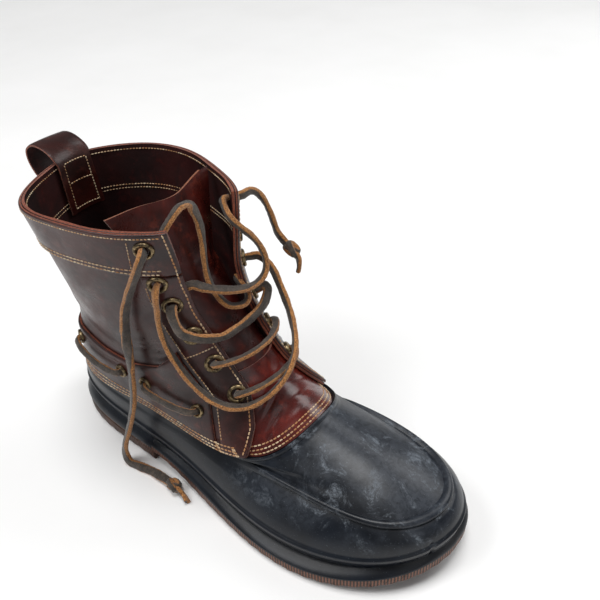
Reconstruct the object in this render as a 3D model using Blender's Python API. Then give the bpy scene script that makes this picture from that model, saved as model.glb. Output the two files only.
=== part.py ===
"""Right-foot duck boot: leather shaft over a moulded rubber shell and a gum outsole.

Frame: metres, +X to the toe, +Y to the inner side of the foot, +Z up. The origin is the
middle of the heel's ground face. Every wall is read from one surface, last_surface, whose
first parameter goes round the foot (0 at the heel, 1 at the toe, 2 back at the heel, the
outer side first) and whose second climbs through the rows of RINGS.
"""
import math
from collections import namedtuple

import bmesh
import bpy
import numpy as np
from mathutils import Vector

# Main sizes
LENGTH = 0.316
BALL_WIDTH = 0.1035
COLLAR_HEIGHT = 0.200

# Sole
HEEL_HEIGHT = 0.0226
HEEL_LENGTH = 0.1035
FOREFOOT_EDGE = 0.0132
TOE_SPRING = 0.0125
ARCH_RISE = 0.0080
SOLE_CHAMFER = 0.0014
EDGE_NOTCH = 0.0010
RIB_DEPTH = 0.0008
TREAD_DEPTH = 0.0028
TREAD_PITCH = 0.0210
TREAD_WAVE = 0.0030

# Walls and clearances
GAP = 0.0003
LAYER_GAP = 0.0006
RUBBER = 0.0030
LEATHER = 0.0021
TRIM = 0.0013
FLANGE = 0.0014
FLANGE_HEIGHT = 0.008
MARGIN = 0.0080
MARGIN_THICKNESS = 0.0020
INSOLE = 0.0040
TONGUE = 0.0020

# Relief of the rubber shell
FOXING_STEP = 0.0014
RIDGE_HEIGHT = 0.0018
RIDGE_WIDTH = 0.0036
LIP_HEIGHT = 0.0024
LIP_WIDTH = 0.0032

# Fittings
EYELET_RADIUS = 0.0058
SIDE_EYELET_RADIUS = 0.0048
EYELET_BORE = 0.54
EYELET_HEIGHT = 0.0012
LACE_WIDTH = 0.0048
LACE_THICKNESS = 0.0026
SIDE_LACE_WIDTH = 0.0038
SIDE_LACE_THICKNESS = 0.0022
CORD_RADIUS = 0.0018
KNOT_LENGTH = 0.0130
KNOT_WIDTH = 0.0088
LOOP_WIDTH = 0.026
LOOP_STRAP = 0.0020
BACK_STRIP_WIDTH = 0.024
BAND_HEIGHT = 0.028

UPPER_HEIGHT = COLLAR_HEIGHT - HEEL_HEIGHT
HALF_BALL = BALL_WIDTH / 2
HEEL_REST = HEEL_LENGTH / 2
TRIM_BASE = LEATHER + LAYER_GAP
EYELET_BASE = TRIM_BASE + TRIM + GAP
SHELL_COLUMNS = 44

# Where a row's widths and heights are read, as shares of the way from heel to toe
WIDTH_STATIONS = (0.0, 0.15, 0.28, 0.45, 0.62, 0.82, 1.0)
HEIGHT_STATIONS = (0.0, 0.45, 0.62, 0.82, 1.0)

# back and front: shares of LENGTH. heel to toe: half widths, shares of HALF_BALL.
# seat_in to tip_in: how far the middle lies to the inner side there, shares of HALF_BALL.
# z_back to z_front: heights over the sole's top, shares of UPPER_HEIGHT.
Ring = namedtuple("Ring", "name back front heel seat waist ball toe "
                          "heel_in seat_in waist_in ball_in toe_in tip_in "
                          "z_back z_waist z_ball z_toe z_front")
RINGS = (
    Ring("feather", 0.015, 0.988, 0.53, 0.68, 0.70, 0.98, 0.70,
         -0.01, -0.06, -0.09, 0.03, 0.15, 0.20, 0.000, 0.000, 0.000, 0.000, 0.000),
    Ring("foxing", 0.009, 0.994, 0.56, 0.72, 0.74, 1.04, 0.76,
         -0.01, -0.06, -0.09, 0.03, 0.15, 0.20, 0.058, 0.058, 0.072, 0.064, 0.061),
    Ring("wall", 0.010, 0.985, 0.57, 0.72, 0.73, 0.94, 0.73,
         -0.01, -0.06, -0.07, 0.05, 0.15, 0.20, 0.106, 0.122, 0.144, 0.117, 0.096),
    Ring("ridge", 0.018, 0.963, 0.56, 0.70, 0.71, 0.75, 0.61,
         -0.02, -0.05, -0.04, 0.07, 0.14, 0.20, 0.149, 0.154, 0.213, 0.163, 0.124),
    Ring("crown", 0.033, 0.885, 0.55, 0.69, 0.71, 0.72, 0.53,
         -0.02, -0.06, -0.02, 0.06, 0.12, 0.14, 0.176, 0.173, 0.229, 0.207, 0.183),
    Ring("vamp", 0.051, 0.790, 0.54, 0.69, 0.72, 0.75, 0.57,
         -0.03, -0.07, -0.02, 0.04, 0.08, 0.10, 0.205, 0.191, 0.229, 0.231, 0.231),
    Ring("rim", 0.071, 0.694, 0.52, 0.73, 0.73, 0.80, 0.66,
         -0.04, -0.07, -0.02, 0.02, 0.04, 0.06, 0.234, 0.207, 0.241, 0.234, 0.277),
    Ring("instep", 0.098, 0.592, 0.55, 0.72, 0.76, 0.71, 0.47,
         -0.05, -0.09, -0.04, -0.02, 0.00, 0.00, 0.340, 0.335, 0.383, 0.402, 0.399),
    Ring("ankle", 0.112, 0.509, 0.53, 0.68, 0.77, 0.70, 0.46,
         -0.06, -0.07, -0.05, -0.04, -0.02, -0.02, 0.500, 0.527, 0.574, 0.585, 0.574),
    Ring("calf", 0.089, 0.473, 0.46, 0.73, 0.86, 0.75, 0.51,
         -0.04, -0.09, -0.07, -0.06, -0.04, -0.04, 0.702, 0.729, 0.766, 0.755, 0.734),
    Ring("collar", 0.071, 0.491, 0.45, 0.87, 1.01, 0.85, 0.48,
         -0.05, -0.12, -0.08, -0.09, -0.05, -0.04, 1.000, 1.027, 1.053, 1.016, 0.984),
)
ROW = {ring.name: index for index, ring in enumerate(RINGS)}

# The sole's outline, with half widths and middles in the same way
Outline = namedtuple("Outline", "heel seat waist ball toe heel_in seat_in waist_in ball_in toe_in tip_in")
SOLE_EDGE = Outline(0.63, 0.77, 0.80, 1.12, 0.84, 0.00, -0.07, -0.10, 0.01, 0.17, 0.26)

# Edges on the front, as (row, share of the next row, half the way round counted back from the toe)
THROAT = (("rim", 0.0, 0.236), ("rim", 0.5, 0.160), ("instep", 0.0, 0.118), ("ankle", 0.0, 0.120),
          ("calf", 0.0, 0.122), ("calf", 0.5, 0.150), ("collar", 0.0, 0.190))
EYESTAY_SEAM = (("rim", 0.0, 0.305), ("rim", 0.3, 0.285), ("rim", 0.67, 0.265), ("instep", 0.0, 0.246),
                ("instep", 0.6, 0.262), ("ankle", 0.0, 0.268), ("calf", 0.0, 0.272), ("collar", 0.0, 0.300))
PLUG_EDGE = (("rim", 0.0, 0.285), ("rim", 0.5, 0.210), ("instep", 0.0, 0.168), ("instep", 0.3, 0.165))
# The tongue's seat under the plug: half its width, as the way round from the toe
TONGUE_SEAT = (("rim", 0.6, 0.130), ("instep", 0.2, 0.175), ("ankle", 0.0, 0.230))
# The tongue above it: middle along the foot from the heel, share of LENGTH; height over the heel's
# top, share of UPPER_HEIGHT; half width and how far its edges lie back, shares of HALF_BALL
TongueLine = namedtuple("TongueLine", "row extra along up wide bow")
TONGUE_LINES = (TongueLine("instep", 0.5, 0.531, 0.487, 0.40, 0.24), TongueLine("ankle", 0.0, 0.493, 0.583, 0.41, 0.24),
                TongueLine("calf", 0.0, 0.430, 0.763, 0.46, 0.19), TongueLine("calf", 0.5, 0.393, 0.893, 0.63, 0.11),
                TongueLine("collar", 0.0, 0.362, 1.017, 0.78, 0.06))
TONGUE_MIDDLE = -0.07
# How a bar of lace leaves its eyelet: way along, and height over the eyelet's foot
BAR_RISE = ((0.0, 0.0004), (0.0, 0.0016), (0.0010, 0.0030), (0.0032, 0.0038), (0.0075, 0.0042))
# Routes of the free laces, in metres
LATERAL_END = ((0.0845, -0.0406, 0.1896), (0.0871, -0.0443, 0.1892), (0.0872, -0.0475, 0.1855),
               (0.0820, -0.0480, 0.1760), (0.0730, -0.0480, 0.1610), (0.0660, -0.0490, 0.1450),
               (0.0618, -0.0495, 0.1270), (0.0600, -0.0505, 0.0990), (0.0570, -0.0530, 0.0700),
               (0.0490, -0.0555, 0.0440), (0.0400, -0.0570, 0.0220), (0.0372, -0.0575, 0.0085),
               (0.0410, -0.0580, 0.0024), (0.0490, -0.0565, 0.0022), (0.0590, -0.0545, 0.0024),
               (0.0690, -0.0540, 0.0034), (0.0762, -0.0543, 0.0046))
LATERAL_KNOT = (0.0835, -0.0548, 0.0054)
LATERAL_TAIL = ((0.0902, -0.0556, 0.0048), (0.0925, -0.0558, 0.0038), (0.0955, -0.0565, 0.0028),
                (0.0990, -0.0578, 0.0024))
MEDIAL_END = ((0.0840, 0.0342, 0.1898), (0.0861, 0.0382, 0.1897), (0.0868, 0.0440, 0.1898), (0.0878, 0.0490, 0.1868),
              (0.0896, 0.0530, 0.1800), (0.0921, 0.0550, 0.1716), (0.0940, 0.0560, 0.1630),
              (0.0962, 0.0566, 0.1565), (0.1005, 0.0570, 0.1520))
MEDIAL_KNOT = (0.1066, 0.0572, 0.1478)
MEDIAL_TAIL = ((0.1114, 0.0574, 0.1427), (0.1119, 0.0574, 0.1400), (0.1119, 0.0574, 0.1360),
               (0.1112, 0.0574, 0.1325))
LOW_LOOP = ((0.0858, -0.0373, 0.1653), (0.0884, -0.0409, 0.1650), (0.0897, -0.0432, 0.1600),
            (0.0880, -0.0420, 0.1530), (0.0863, -0.0418, 0.1430), (0.0865, -0.0415, 0.1330),
            (0.0890, -0.0415, 0.1240), (0.0935, -0.0415, 0.1170), (0.0990, -0.0410, 0.1090),
            (0.1050, -0.0400, 0.1020), (0.1115, -0.0385, 0.0960), (0.1185, -0.0370, 0.0925),
            (0.1280, -0.0335, 0.0905), (0.1365, -0.0265, 0.0905), (0.1425, -0.0170, 0.0935),
            (0.1460, -0.0080, 0.0985), (0.1470, 0.0010, 0.1045), (0.1435, 0.0110, 0.1095),
            (0.1370, 0.0200, 0.1135), (0.1290, 0.0275, 0.1180), (0.1215, 0.0325, 0.1245),
            (0.1130, 0.0360, 0.1340), (0.1050, 0.0385, 0.1430), (0.0970, 0.0370, 0.1495),
            (0.0928, 0.0325, 0.1503), (0.0902, 0.0294, 0.1500))
MIDDLE_LOOP = ((0.0904, -0.0333, 0.1498), (0.0934, -0.0366, 0.1500), (0.0968, -0.0385, 0.1450),
               (0.0990, -0.0368, 0.1370), (0.1030, -0.0330, 0.1330), (0.1080, -0.0270, 0.1300),
               (0.1115, -0.0170, 0.1265), (0.1120, -0.0050, 0.1250), (0.1125, 0.0080, 0.1255),
               (0.1120, 0.0200, 0.1280), (0.1080, 0.0295, 0.1315), (0.1030, 0.0318, 0.1322),
               (0.0989, 0.0269, 0.1298))
THROAT_LOOP = ((0.0864, -0.0296, 0.1930), (0.0890, -0.0270, 0.1990), (0.0910, -0.0220, 0.2050),
               (0.0900, -0.0150, 0.2070), (0.0880, -0.0070, 0.2040), (0.0865, -0.0020, 0.1960),
               (0.0868, 0.0000, 0.1860), (0.0880, -0.0010, 0.1750), (0.0895, -0.0030, 0.1640),
               (0.0930, -0.0050, 0.1540), (0.0985, -0.0050, 0.1450), (0.1045, -0.0020, 0.1380),
               (0.1075, 0.0060, 0.1345), (0.1075, 0.0120, 0.1350), (0.1050, 0.0160, 0.1390))
HANGING_LOOP = ((0.0840, 0.0230, 0.1920), (0.0890, 0.0195, 0.1890), (0.0950, 0.0175, 0.1855),
                (0.0998, 0.0200, 0.1800), (0.1025, 0.0250, 0.1730), (0.1050, 0.0290, 0.1650),
                (0.1070, 0.0310, 0.1560), (0.1085, 0.0290, 0.1480), (0.1088, 0.0230, 0.1440),
                (0.1085, 0.0140, 0.1440), (0.1070, 0.0040, 0.1470), (0.1035, -0.0070, 0.1520),
                (0.0985, -0.0145, 0.1560), (0.0945, -0.0175, 0.1590))
# The side panel's top edge: way from heel to toe, and climb in rows
PANEL_TOP = ((0.00, 7.70), (0.20, 7.64), (0.38, 7.54), (0.52, 7.52), (0.62, 7.62), (0.73, 7.92))
# Lacing eyelets from the collar down, and side-lace eyelets from the heel: row, share, way round
Seat = namedtuple("Seat", "row extra turn")
EYELETS = (Seat("calf", 0.80, 0.742), Seat("calf", 0.30, 0.772), Seat("ankle", 0.90, 0.806),
           Seat("ankle", 0.17, 0.816), Seat("instep", 0.58, 0.828), Seat("instep", 0.02, 0.838))
SIDE_EYELETS = (Seat("instep", 0.30, 0.219), Seat("instep", 0.20, 0.440), Seat("instep", 0.12, 0.524),
                Seat("rim", 0.80, 0.682))


def remove_scene_objects():
    """Empties the scene."""
    for old in list(bpy.data.objects):
        bpy.data.objects.remove(old, do_unlink=True)


def spline_weights(knots, where, period=2.0):
    """Weights of a periodic cubic through values at the knots, one row for each place asked."""
    knots = np.asarray(knots, float)
    count = len(knots)
    steps = np.diff(np.append(knots, knots[0] + period))
    system = np.zeros((count, count))
    right = np.zeros((count, count))
    for i in range(count):
        before, after = (i - 1) % count, (i + 1) % count
        system[i, before] += steps[before] / 6
        system[i, i] += (steps[before] + steps[i]) / 3
        system[i, after] += steps[i] / 6
        right[i, before] += 1 / steps[before]
        right[i, i] -= 1 / steps[before] + 1 / steps[i]
        right[i, after] += 1 / steps[i]
    bend = np.linalg.solve(system, right)
    where = np.mod(np.asarray(where, float), period)
    cell = np.clip(np.searchsorted(knots, where, side="right") - 1, 0, count - 1)
    step = steps[cell]
    ahead = (where - knots[cell]) / step
    behind = 1 - ahead
    weights = ((behind ** 3 - behind) * step ** 2 / 6)[:, None] * bend[cell]
    weights += ((ahead ** 3 - ahead) * step ** 2 / 6)[:, None] * bend[(cell + 1) % count]
    index = np.arange(len(where))
    weights[index, cell] += behind
    weights[index, (cell + 1) % count] += ahead
    return weights


def row_weights(climb):
    """Catmull-Rom weights of the rows, one line for each climb asked; straight past the ends."""
    climb = np.asarray(climb, float)
    last = len(RINGS) - 1
    cell = np.clip(np.floor(climb).astype(int), 0, last - 1)
    t = climb - cell
    inside = np.clip(t, 0, 1)
    weights = np.zeros((len(climb), last + 1))
    index = np.arange(len(climb))
    basis = (-0.5 * inside + inside ** 2 - 0.5 * inside ** 3,
             1 - 2.5 * inside ** 2 + 1.5 * inside ** 3,
             0.5 * inside + 2 * inside ** 2 - 1.5 * inside ** 3,
             -0.5 * inside ** 2 + 0.5 * inside ** 3)
    for shift, value in zip((-1, 0, 1, 2), basis):
        target = cell + shift
        low, high = target < 0, target > last
        np.add.at(weights, (index, np.clip(target, 0, last)), value)
        for outside, near, far in ((low, 0, 1), (high, last, last - 1)):
            np.add.at(weights, (index[outside], np.full(outside.sum(), near)), value[outside])
            np.add.at(weights, (index[outside], np.full(outside.sum(), far)), -value[outside])
    over = t - inside
    slope_from = np.where(over < 0, 0, last - 1)
    np.add.at(weights, (index, slope_from + 1), over)
    np.add.at(weights, (index, slope_from), -over)
    return weights


def mirrored(stations):
    """The stations round both sides, without the doubled ends."""
    return list(stations) + [2 - s for s in stations[-2:0:-1]]


SOLE_TOP = (HEEL_HEIGHT, 0.5 * (HEEL_HEIGHT + FOREFOOT_EDGE), FOREFOOT_EDGE,
            FOREFOOT_EDGE + 0.52 * TOE_SPRING, FOREFOOT_EDGE + TOE_SPRING)


def side_values(row):
    """A row's sideways offsets round the foot: outer side, tip, inner side, back to the heel."""
    half = (0.0, row.heel, row.seat, row.waist, row.ball, row.toe, 0.0)
    middle = (0.0, row.heel_in, row.seat_in, row.waist_in, row.ball_in, row.toe_in, row.tip_in)
    outer = [m - h for h, m in zip(half, middle)]
    inner = [m + h for h, m in zip(half, middle)]
    return [HALF_BALL * y for y in outer + inner[-2:0:-1]]


def ring_tables():
    """Ends, side offsets and heights of each row, at the stations round the foot."""
    ends, sides, heights = [], [], []
    for ring in RINGS:
        ends.append((ring.back * LENGTH, ring.front * LENGTH))
        sides.append(side_values(ring))
        rise = (ring.z_back, ring.z_waist, ring.z_ball, ring.z_toe, ring.z_front)
        column = [top + UPPER_HEIGHT * r for top, r in zip(SOLE_TOP, rise)]
        heights.append(column + column[-2:0:-1])
    return np.array(ends), np.array(sides), np.array(heights)


ENDS, SIDES, HEIGHTS = ring_tables()


def last_surface(turn, climb):
    """Points of the upper's outer surface: turn goes round (0 heel, 1 toe), climb up the rows."""
    turn, climb = np.broadcast_arrays(np.asarray(turn, float), np.asarray(climb, float))
    shape = turn.shape
    turn, climb = turn.ravel(), climb.ravel()
    rows = row_weights(climb)
    back, front = (rows @ ENDS).T
    x = (back + front) / 2 - (front - back) / 2 * np.cos(math.pi * turn) - HEEL_REST
    round_y = spline_weights(mirrored(WIDTH_STATIONS), turn)
    round_z = spline_weights(mirrored(HEIGHT_STATIONS), turn)
    y = np.einsum("nk,nr,rk->n", round_y, rows, SIDES)
    z = np.einsum("nk,nr,rk->n", round_z, rows, HEIGHTS)
    return np.stack([x, y, z], axis=1).reshape(shape + (3,))


def tangents(turn, climb):
    """Directions round and up the surface, by small differences."""
    step = 1e-3
    around = (last_surface(turn + step, climb) - last_surface(turn - step, climb)) / (2 * step)
    upward = (last_surface(turn, climb + step) - last_surface(turn, climb - step)) / (2 * step)
    return around, upward


def normals(turn, climb):
    """Unit normals that point out of the boot."""
    around, upward = tangents(turn, climb)
    out = np.cross(around, upward)
    return out / np.linalg.norm(out, axis=-1, keepdims=True)


def offset_surface(turn, climb, offset):
    """Points at a distance from the surface, positive outwards."""
    turn, climb, offset = np.broadcast_arrays(turn, climb, offset)
    turn, climb = turn.astype(float), climb.astype(float)
    return last_surface(turn, climb) + normals(turn, climb) * offset[..., None]


def along_table(climb, table):
    """A share read from a table of (row name, share of the next row, value)."""
    places = [ROW[name] + extra for name, extra, _ in table]
    return np.interp(climb, places, [value for _, _, value in table])


def make_material(name, colour, roughness, metallic=0.0):
    """A plain Principled material."""
    material = bpy.data.materials.new(name)
    material.use_nodes = True
    shader = material.node_tree.nodes["Principled BSDF"]
    shader.inputs["Base Color"].default_value = (*colour, 1.0)
    shader.inputs["Roughness"].default_value = roughness
    shader.inputs["Metallic"].default_value = metallic
    return material


def make_object(name, points, faces, material):
    """A named object of one closed mesh, its faces turned outwards."""
    mesh = bpy.data.meshes.new(name)
    mesh.from_pydata([tuple(map(float, p)) for p in points], [], faces)
    shape = bmesh.new()
    shape.from_mesh(mesh)
    bmesh.ops.recalc_face_normals(shape, faces=shape.faces)
    if shape.calc_volume(signed=True) < 0:
        bmesh.ops.reverse_faces(shape, faces=shape.faces)
    shape.to_mesh(mesh)
    shape.free()
    mesh.materials.append(material)
    mesh.shade_smooth()
    mesh.set_sharp_from_angle(angle=math.radians(38))
    item = bpy.data.objects.new(name, mesh)
    bpy.context.scene.collection.objects.link(item)
    return item


def grid_faces(rows, columns, start=0, wrap=False, flip=False):
    """Quads of a grid of points laid out row by row."""
    faces = []
    for r in range(rows - 1):
        for c in range(columns if wrap else columns - 1):
            d = (c + 1) % columns
            quad = (r * columns + c, r * columns + d, (r + 1) * columns + d, (r + 1) * columns + c)
            quad = tuple(start + q for q in quad)
            faces.append(quad[::-1] if flip else quad)
    return faces


def sheet(name, outer, inner, material, wrap=False):
    """A wall between two grids of points; rows climb, columns go round from heel to toe."""
    rows, columns = outer.shape[:2]
    points = np.concatenate([outer.reshape(-1, 3), inner.reshape(-1, 3)])
    back = rows * columns
    faces = grid_faces(rows, columns, 0, wrap) + grid_faces(rows, columns, back, wrap, flip=True)
    for c in range(columns if wrap else columns - 1):
        d = (c + 1) % columns
        top = (rows - 1) * columns
        faces.append((d, c, back + c, back + d))
        faces.append((top + c, top + d, back + top + d, back + top + c))
    if not wrap:
        for r in range(rows - 1):
            a, b = r * columns, (r + 1) * columns
            faces.append((a, b, back + b, back + a))
            end = columns - 1
            faces.append((b + end, a + end, back + a + end, back + b + end))
    return make_object(name, points, faces, material)


def hoop(name, sections, material):
    """A closed ring whose sections, one polygon for each column, run round it."""
    columns, count = sections.shape[:2]
    faces = []
    for c in range(columns):
        d = (c + 1) % columns
        for k in range(count):
            n = (k + 1) % count
            faces.append((c * count + k, d * count + k, d * count + n, c * count + n))
    return make_object(name, sections.reshape(-1, 3), faces, material)


def patch(name, turns, climbs, low, high, material):
    """A layer over part of the surface, between two distances from it."""
    return sheet(name, offset_surface(turns, climbs, high), offset_surface(turns, climbs, low), material)


def smooth_step(value, start, end):
    """Rises from 0 at start to 1 at end with soft ends."""
    t = np.clip((np.asarray(value, float) - start) / (end - start), 0, 1)
    return t * t * (3 - 2 * t)


def front_nearness(turn):
    """Distance from the toe, as a share of half the way round."""
    return np.abs(np.mod(turn, 2.0) - 1.0)


def under_plug(turn):
    """1 where the vamp plug lies between shell flange and quarters, falling to 0 past it."""
    return 1 - smooth_step(front_nearness(turn), 0.30, 0.36)


def sole_top_height(x):
    """Height of the sole's top along the foot."""
    turn = np.linspace(0, 1, SHELL_COLUMNS // 2 + 1)
    edge = last_surface(turn, 0 * turn)
    return np.interp(x, edge[:, 0], edge[:, 2]) - GAP


def sole_bottom_height(x):
    """Height of the sole's underside without its tread: heel, arch, flat forefoot, toe spring."""
    heel_end = HEEL_LENGTH - HEEL_REST
    ball_start = 0.53 * LENGTH - HEEL_REST
    ball_end = 0.74 * LENGTH - HEEL_REST
    tip = LENGTH - HEEL_REST
    arch = ARCH_RISE * (1 - smooth_step(x, heel_end, ball_start))
    spring = TOE_SPRING * np.clip((x - ball_end) / (tip - ball_end), 0, None) ** 1.7
    return np.where(x < heel_end, 0.0, np.where(x < ball_start, arch, spring))


def sole_outline(x):
    """Outer and inner side offsets of the sole's edge at x."""
    turn = np.arccos(np.clip(1 - 2 * (x + HEEL_REST) / LENGTH, -1, 1)) / math.pi
    offsets = np.array(side_values(SOLE_EDGE))
    knots = mirrored(WIDTH_STATIONS)
    return spline_weights(knots, turn) @ offsets, spline_weights(knots, 2 - turn) @ offsets


def sole_stations():
    """Places along the sole: close at both ends, by the tread's bars between, and the heel's breast."""
    heel_round, toe_round = 0.018, 0.022
    ends_count, first = 7, 0.12
    back, front = -HEEL_REST, LENGTH - HEEL_REST
    curl = np.linspace(first, math.pi / 2, ends_count)
    rear = back + heel_round * (1 - np.cos(curl))
    nose = front - toe_round * (1 - np.cos(curl))[::-1]
    start, stop = rear[-1], nose[0]
    quarter = TREAD_PITCH / 4
    breast_line = HEEL_LENGTH - HEEL_REST
    heel_marks = np.arange(start, breast_line - quarter / 2, quarter)[1:]
    breast = np.array([breast_line - GAP, breast_line + GAP])
    fore_marks = np.arange(breast_line + quarter, stop - quarter / 2, quarter)
    marks = np.concatenate([rear, heel_marks, breast, fore_marks, nose])
    return marks, start, stop


def build_outsole(material):
    """The gum sole: ribbed forefoot edge, notched heel edge, wavy tread bars underneath."""
    marks, start, stop = sole_stations()
    count = len(marks)
    breast_line = HEEL_LENGTH - HEEL_REST
    middle = (marks[0] + marks[-1]) / 2
    nearest_end = np.minimum(marks - marks[0], marks[-1] - marks)
    top = sole_top_height(marks)
    bottom = np.minimum(sole_bottom_height(marks), top - 0.006)
    ribs = np.where((marks > 0.18 * LENGTH) & (np.arange(count) % 2 == 0), RIB_DEPTH, 0.0)
    levels = ((0.0, SOLE_CHAMFER), (0.16, 0.0), (0.47, 0.0), (0.52, EDGE_NOTCH), (0.57, 0.0), (1.0, 0.0))
    loops = []
    for share, inset in levels:
        height = bottom + share * (top - bottom)
        draw_in = inset + (ribs if 0 < share < 1 else 0 * ribs)
        outer, inner = sole_outline(marks)
        outer, inner = outer + draw_in, inner - draw_in
        squeeze = 1 - inset / (middle - marks[0])
        x = middle + (marks - middle) * squeeze
        loops.append(np.concatenate([np.stack([x, outer, height], 1),
                                     np.stack([x, inner, height], 1)[::-1]]))
    around = 2 * count
    points = list(np.concatenate(loops))
    faces = grid_faces(len(levels), around, 0, wrap=True)
    upper = (len(levels) - 1) * around
    for i in range(count - 1):
        faces.append((upper + i, upper + i + 1, upper + around - 2 - i, upper + around - 1 - i))
    lanes = 5
    centre = len(points)
    groove = ((np.arange(count) // 2) % 2 == 0) & (marks > start) & (marks < stop)
    groove &= np.abs(marks - breast_line) > 0.002
    flat_heel = (marks > -0.006) & (marks < 0.006)
    groove &= ~flat_heel
    for i, x in enumerate(marks[1:-1], 1):
        for lane in range(1, lanes):
            share = lane / lanes
            wave = TREAD_WAVE * math.sin(4 * math.pi * share) * (1 if nearest_end[i] > 0.02 else 0)
            wave = 0.0 if abs(x - breast_line) < 0.006 or abs(x) < 0.010 else wave
            y = loops[0][i][1] * (1 - share) + loops[0][around - 1 - i][1] * share
            depth = TREAD_DEPTH if groove[i] else 0.0
            points.append(np.array([loops[0][i][0] + wave, y, loops[0][i][2] + depth]))
    behind = [centre + lane for lane in range(lanes - 1)]
    faces.append((0, 1, *behind, around - 2, around - 1))
    ahead = [centre + (count - 3) * (lanes - 1) + lane for lane in range(lanes - 1)]
    faces.append((count - 1, count - 2, *ahead, count + 1, count))
    for i in range(1, count - 2):
        for lane in range(lanes):
            corner = []
            for column, row in ((i, lane), (i, lane + 1), (i + 1, lane + 1), (i + 1, lane)):
                if row == 0:
                    corner.append(column)
                elif row == lanes:
                    corner.append(around - 1 - column)
                else:
                    corner.append(centre + (column - 1) * (lanes - 1) + row - 1)
            faces.append(tuple(corner))
    return make_object("outsole", points, faces, material)


def climb_by(turn, row, distance):
    """The climb that lies a distance along the surface above a row, or below it if negative."""
    at = ROW[row] + 0.0 * np.asarray(turn, float)
    speed = np.linalg.norm(tangents(turn, at)[1], axis=-1)
    return at + distance / speed


def build_rubber_shell(material):
    """The moulded lower: foxing, side wall, toe ridge, lip, and a flange inside the leather."""
    turn = np.arange(SHELL_COLUMNS) * 2.0 / SHELL_COLUMNS
    ridge = RIDGE_HEIGHT * (1 - smooth_step(front_nearness(turn), 0.36, 0.46))
    flange = -LAYER_GAP - (LEATHER + LAYER_GAP + GAP) * under_plug(turn)
    level = 0.0 * turn
    foxing = level + FOXING_STEP
    lip = level + LIP_HEIGHT
    outside = [(level, foxing), (level + 0.92, foxing), (level + 1.03, level),
               (level + 1.5, level), (level + 2.0, level),
               (climb_by(turn, "ridge", -RIDGE_WIDTH), level),
               (climb_by(turn, "ridge", -RIDGE_WIDTH / 3), ridge),
               (climb_by(turn, "ridge", RIDGE_WIDTH / 3), ridge),
               (climb_by(turn, "ridge", RIDGE_WIDTH), level),
               (level + 3.6, level), (level + 4.3, level),
               (np.maximum(climb_by(turn, "rim", -1.5 * LIP_WIDTH), 4.9), level),
               (np.maximum(climb_by(turn, "rim", -LIP_WIDTH), 5.05), lip),
               (level + ROW["rim"], lip), (level + ROW["rim"], flange),
               (climb_by(turn, "rim", FLANGE_HEIGHT), flange)]
    inside = [(climb_by(turn, "rim", FLANGE_HEIGHT), flange - FLANGE),
              (level + ROW["rim"], flange - FLANGE), (level + 5.0, level - RUBBER),
              (level + 4.2, level - RUBBER), (level + 3.2, level - RUBBER), (level + 1.9, level - RUBBER),
              (level + 0.6, level - RUBBER)]
    loops = [offset_surface(turn, climb, offset) for climb, offset in outside + inside]
    foot = last_surface(turn, level)
    inward = normals(turn, level)
    inward[:, 2] = 0
    inward /= np.linalg.norm(inward, axis=1, keepdims=True)
    loops[0][:, 2] = sole_top_height(loops[0][:, 0]) + 2 * GAP
    rise = np.array([0, 0, MARGIN_THICKNESS])
    wall, edge = foot - RUBBER * inward, foot - MARGIN * inward
    wall[:, 2] = sole_top_height(wall[:, 0]) + 3 * GAP
    edge[:, 2] = sole_top_height(edge[:, 0]) + 3 * GAP
    loops += [wall + rise, edge + rise, edge]
    return hoop("rubber_shell", np.stack(loops, axis=1), material)


def build_insole(material):
    """A flat-bottomed pad that follows the sole's top inside the shell."""
    lanes = 3
    angle = np.linspace(0, 1, SHELL_COLUMNS // 2 + 1)[1:-1]
    climb = 0.15
    wall = -(RUBBER + 4 * GAP)
    lateral = offset_surface(angle, climb, wall)
    medial = offset_surface(2 - angle, climb, wall)
    floor = sole_top_height(lateral[:, 0]) + MARGIN_THICKNESS + 5 * GAP
    layers = []
    for lift in (INSOLE, 0.0):
        lines = []
        for lane in range(lanes + 1):
            share = lane / lanes
            line = lateral * (1 - share) + medial * share
            line[:, 2] = floor + lift
            lines.append(line)
        layers.append(np.stack(lines))
    return sheet("insole", layers[0], layers[1], material)


def build_shaft(material):
    """The quarters: one hollow wall, open at the collar, down the throat and below."""
    rows, columns = 12, 38
    share = np.linspace(0, 1, rows)[:, None]
    around = np.linspace(0, 1, columns)[None, :]
    climb = ROW["rim"] + share * (ROW["collar"] - ROW["rim"]) + 0 * around
    throat = along_table(climb, THROAT)
    turn = 1 + throat + around * (2 - 2 * throat)
    climb = np.where(share == 0, climb_by(turn, "rim", 2 * GAP), climb)
    return patch("leather_shaft", turn, climb, 0.0, LEATHER, material)


def build_vamp_plug(material):
    """The leather dome between the quarters, with its sides under them."""
    rows, columns = 7, 13
    top = ROW["instep"] + 0.3
    climb = np.linspace(ROW["rim"], top, rows)[:, None] + np.zeros((1, columns))
    spread = np.linspace(-1, 1, columns)[None, :]
    turn = 1 + spread * along_table(climb, PLUG_EDGE)
    climb[0] = climb_by(turn[0], "rim", 2 * GAP)
    return patch("vamp_plug", turn, climb, -LAYER_GAP - GAP - LEATHER, -LAYER_GAP - GAP, material)


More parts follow.
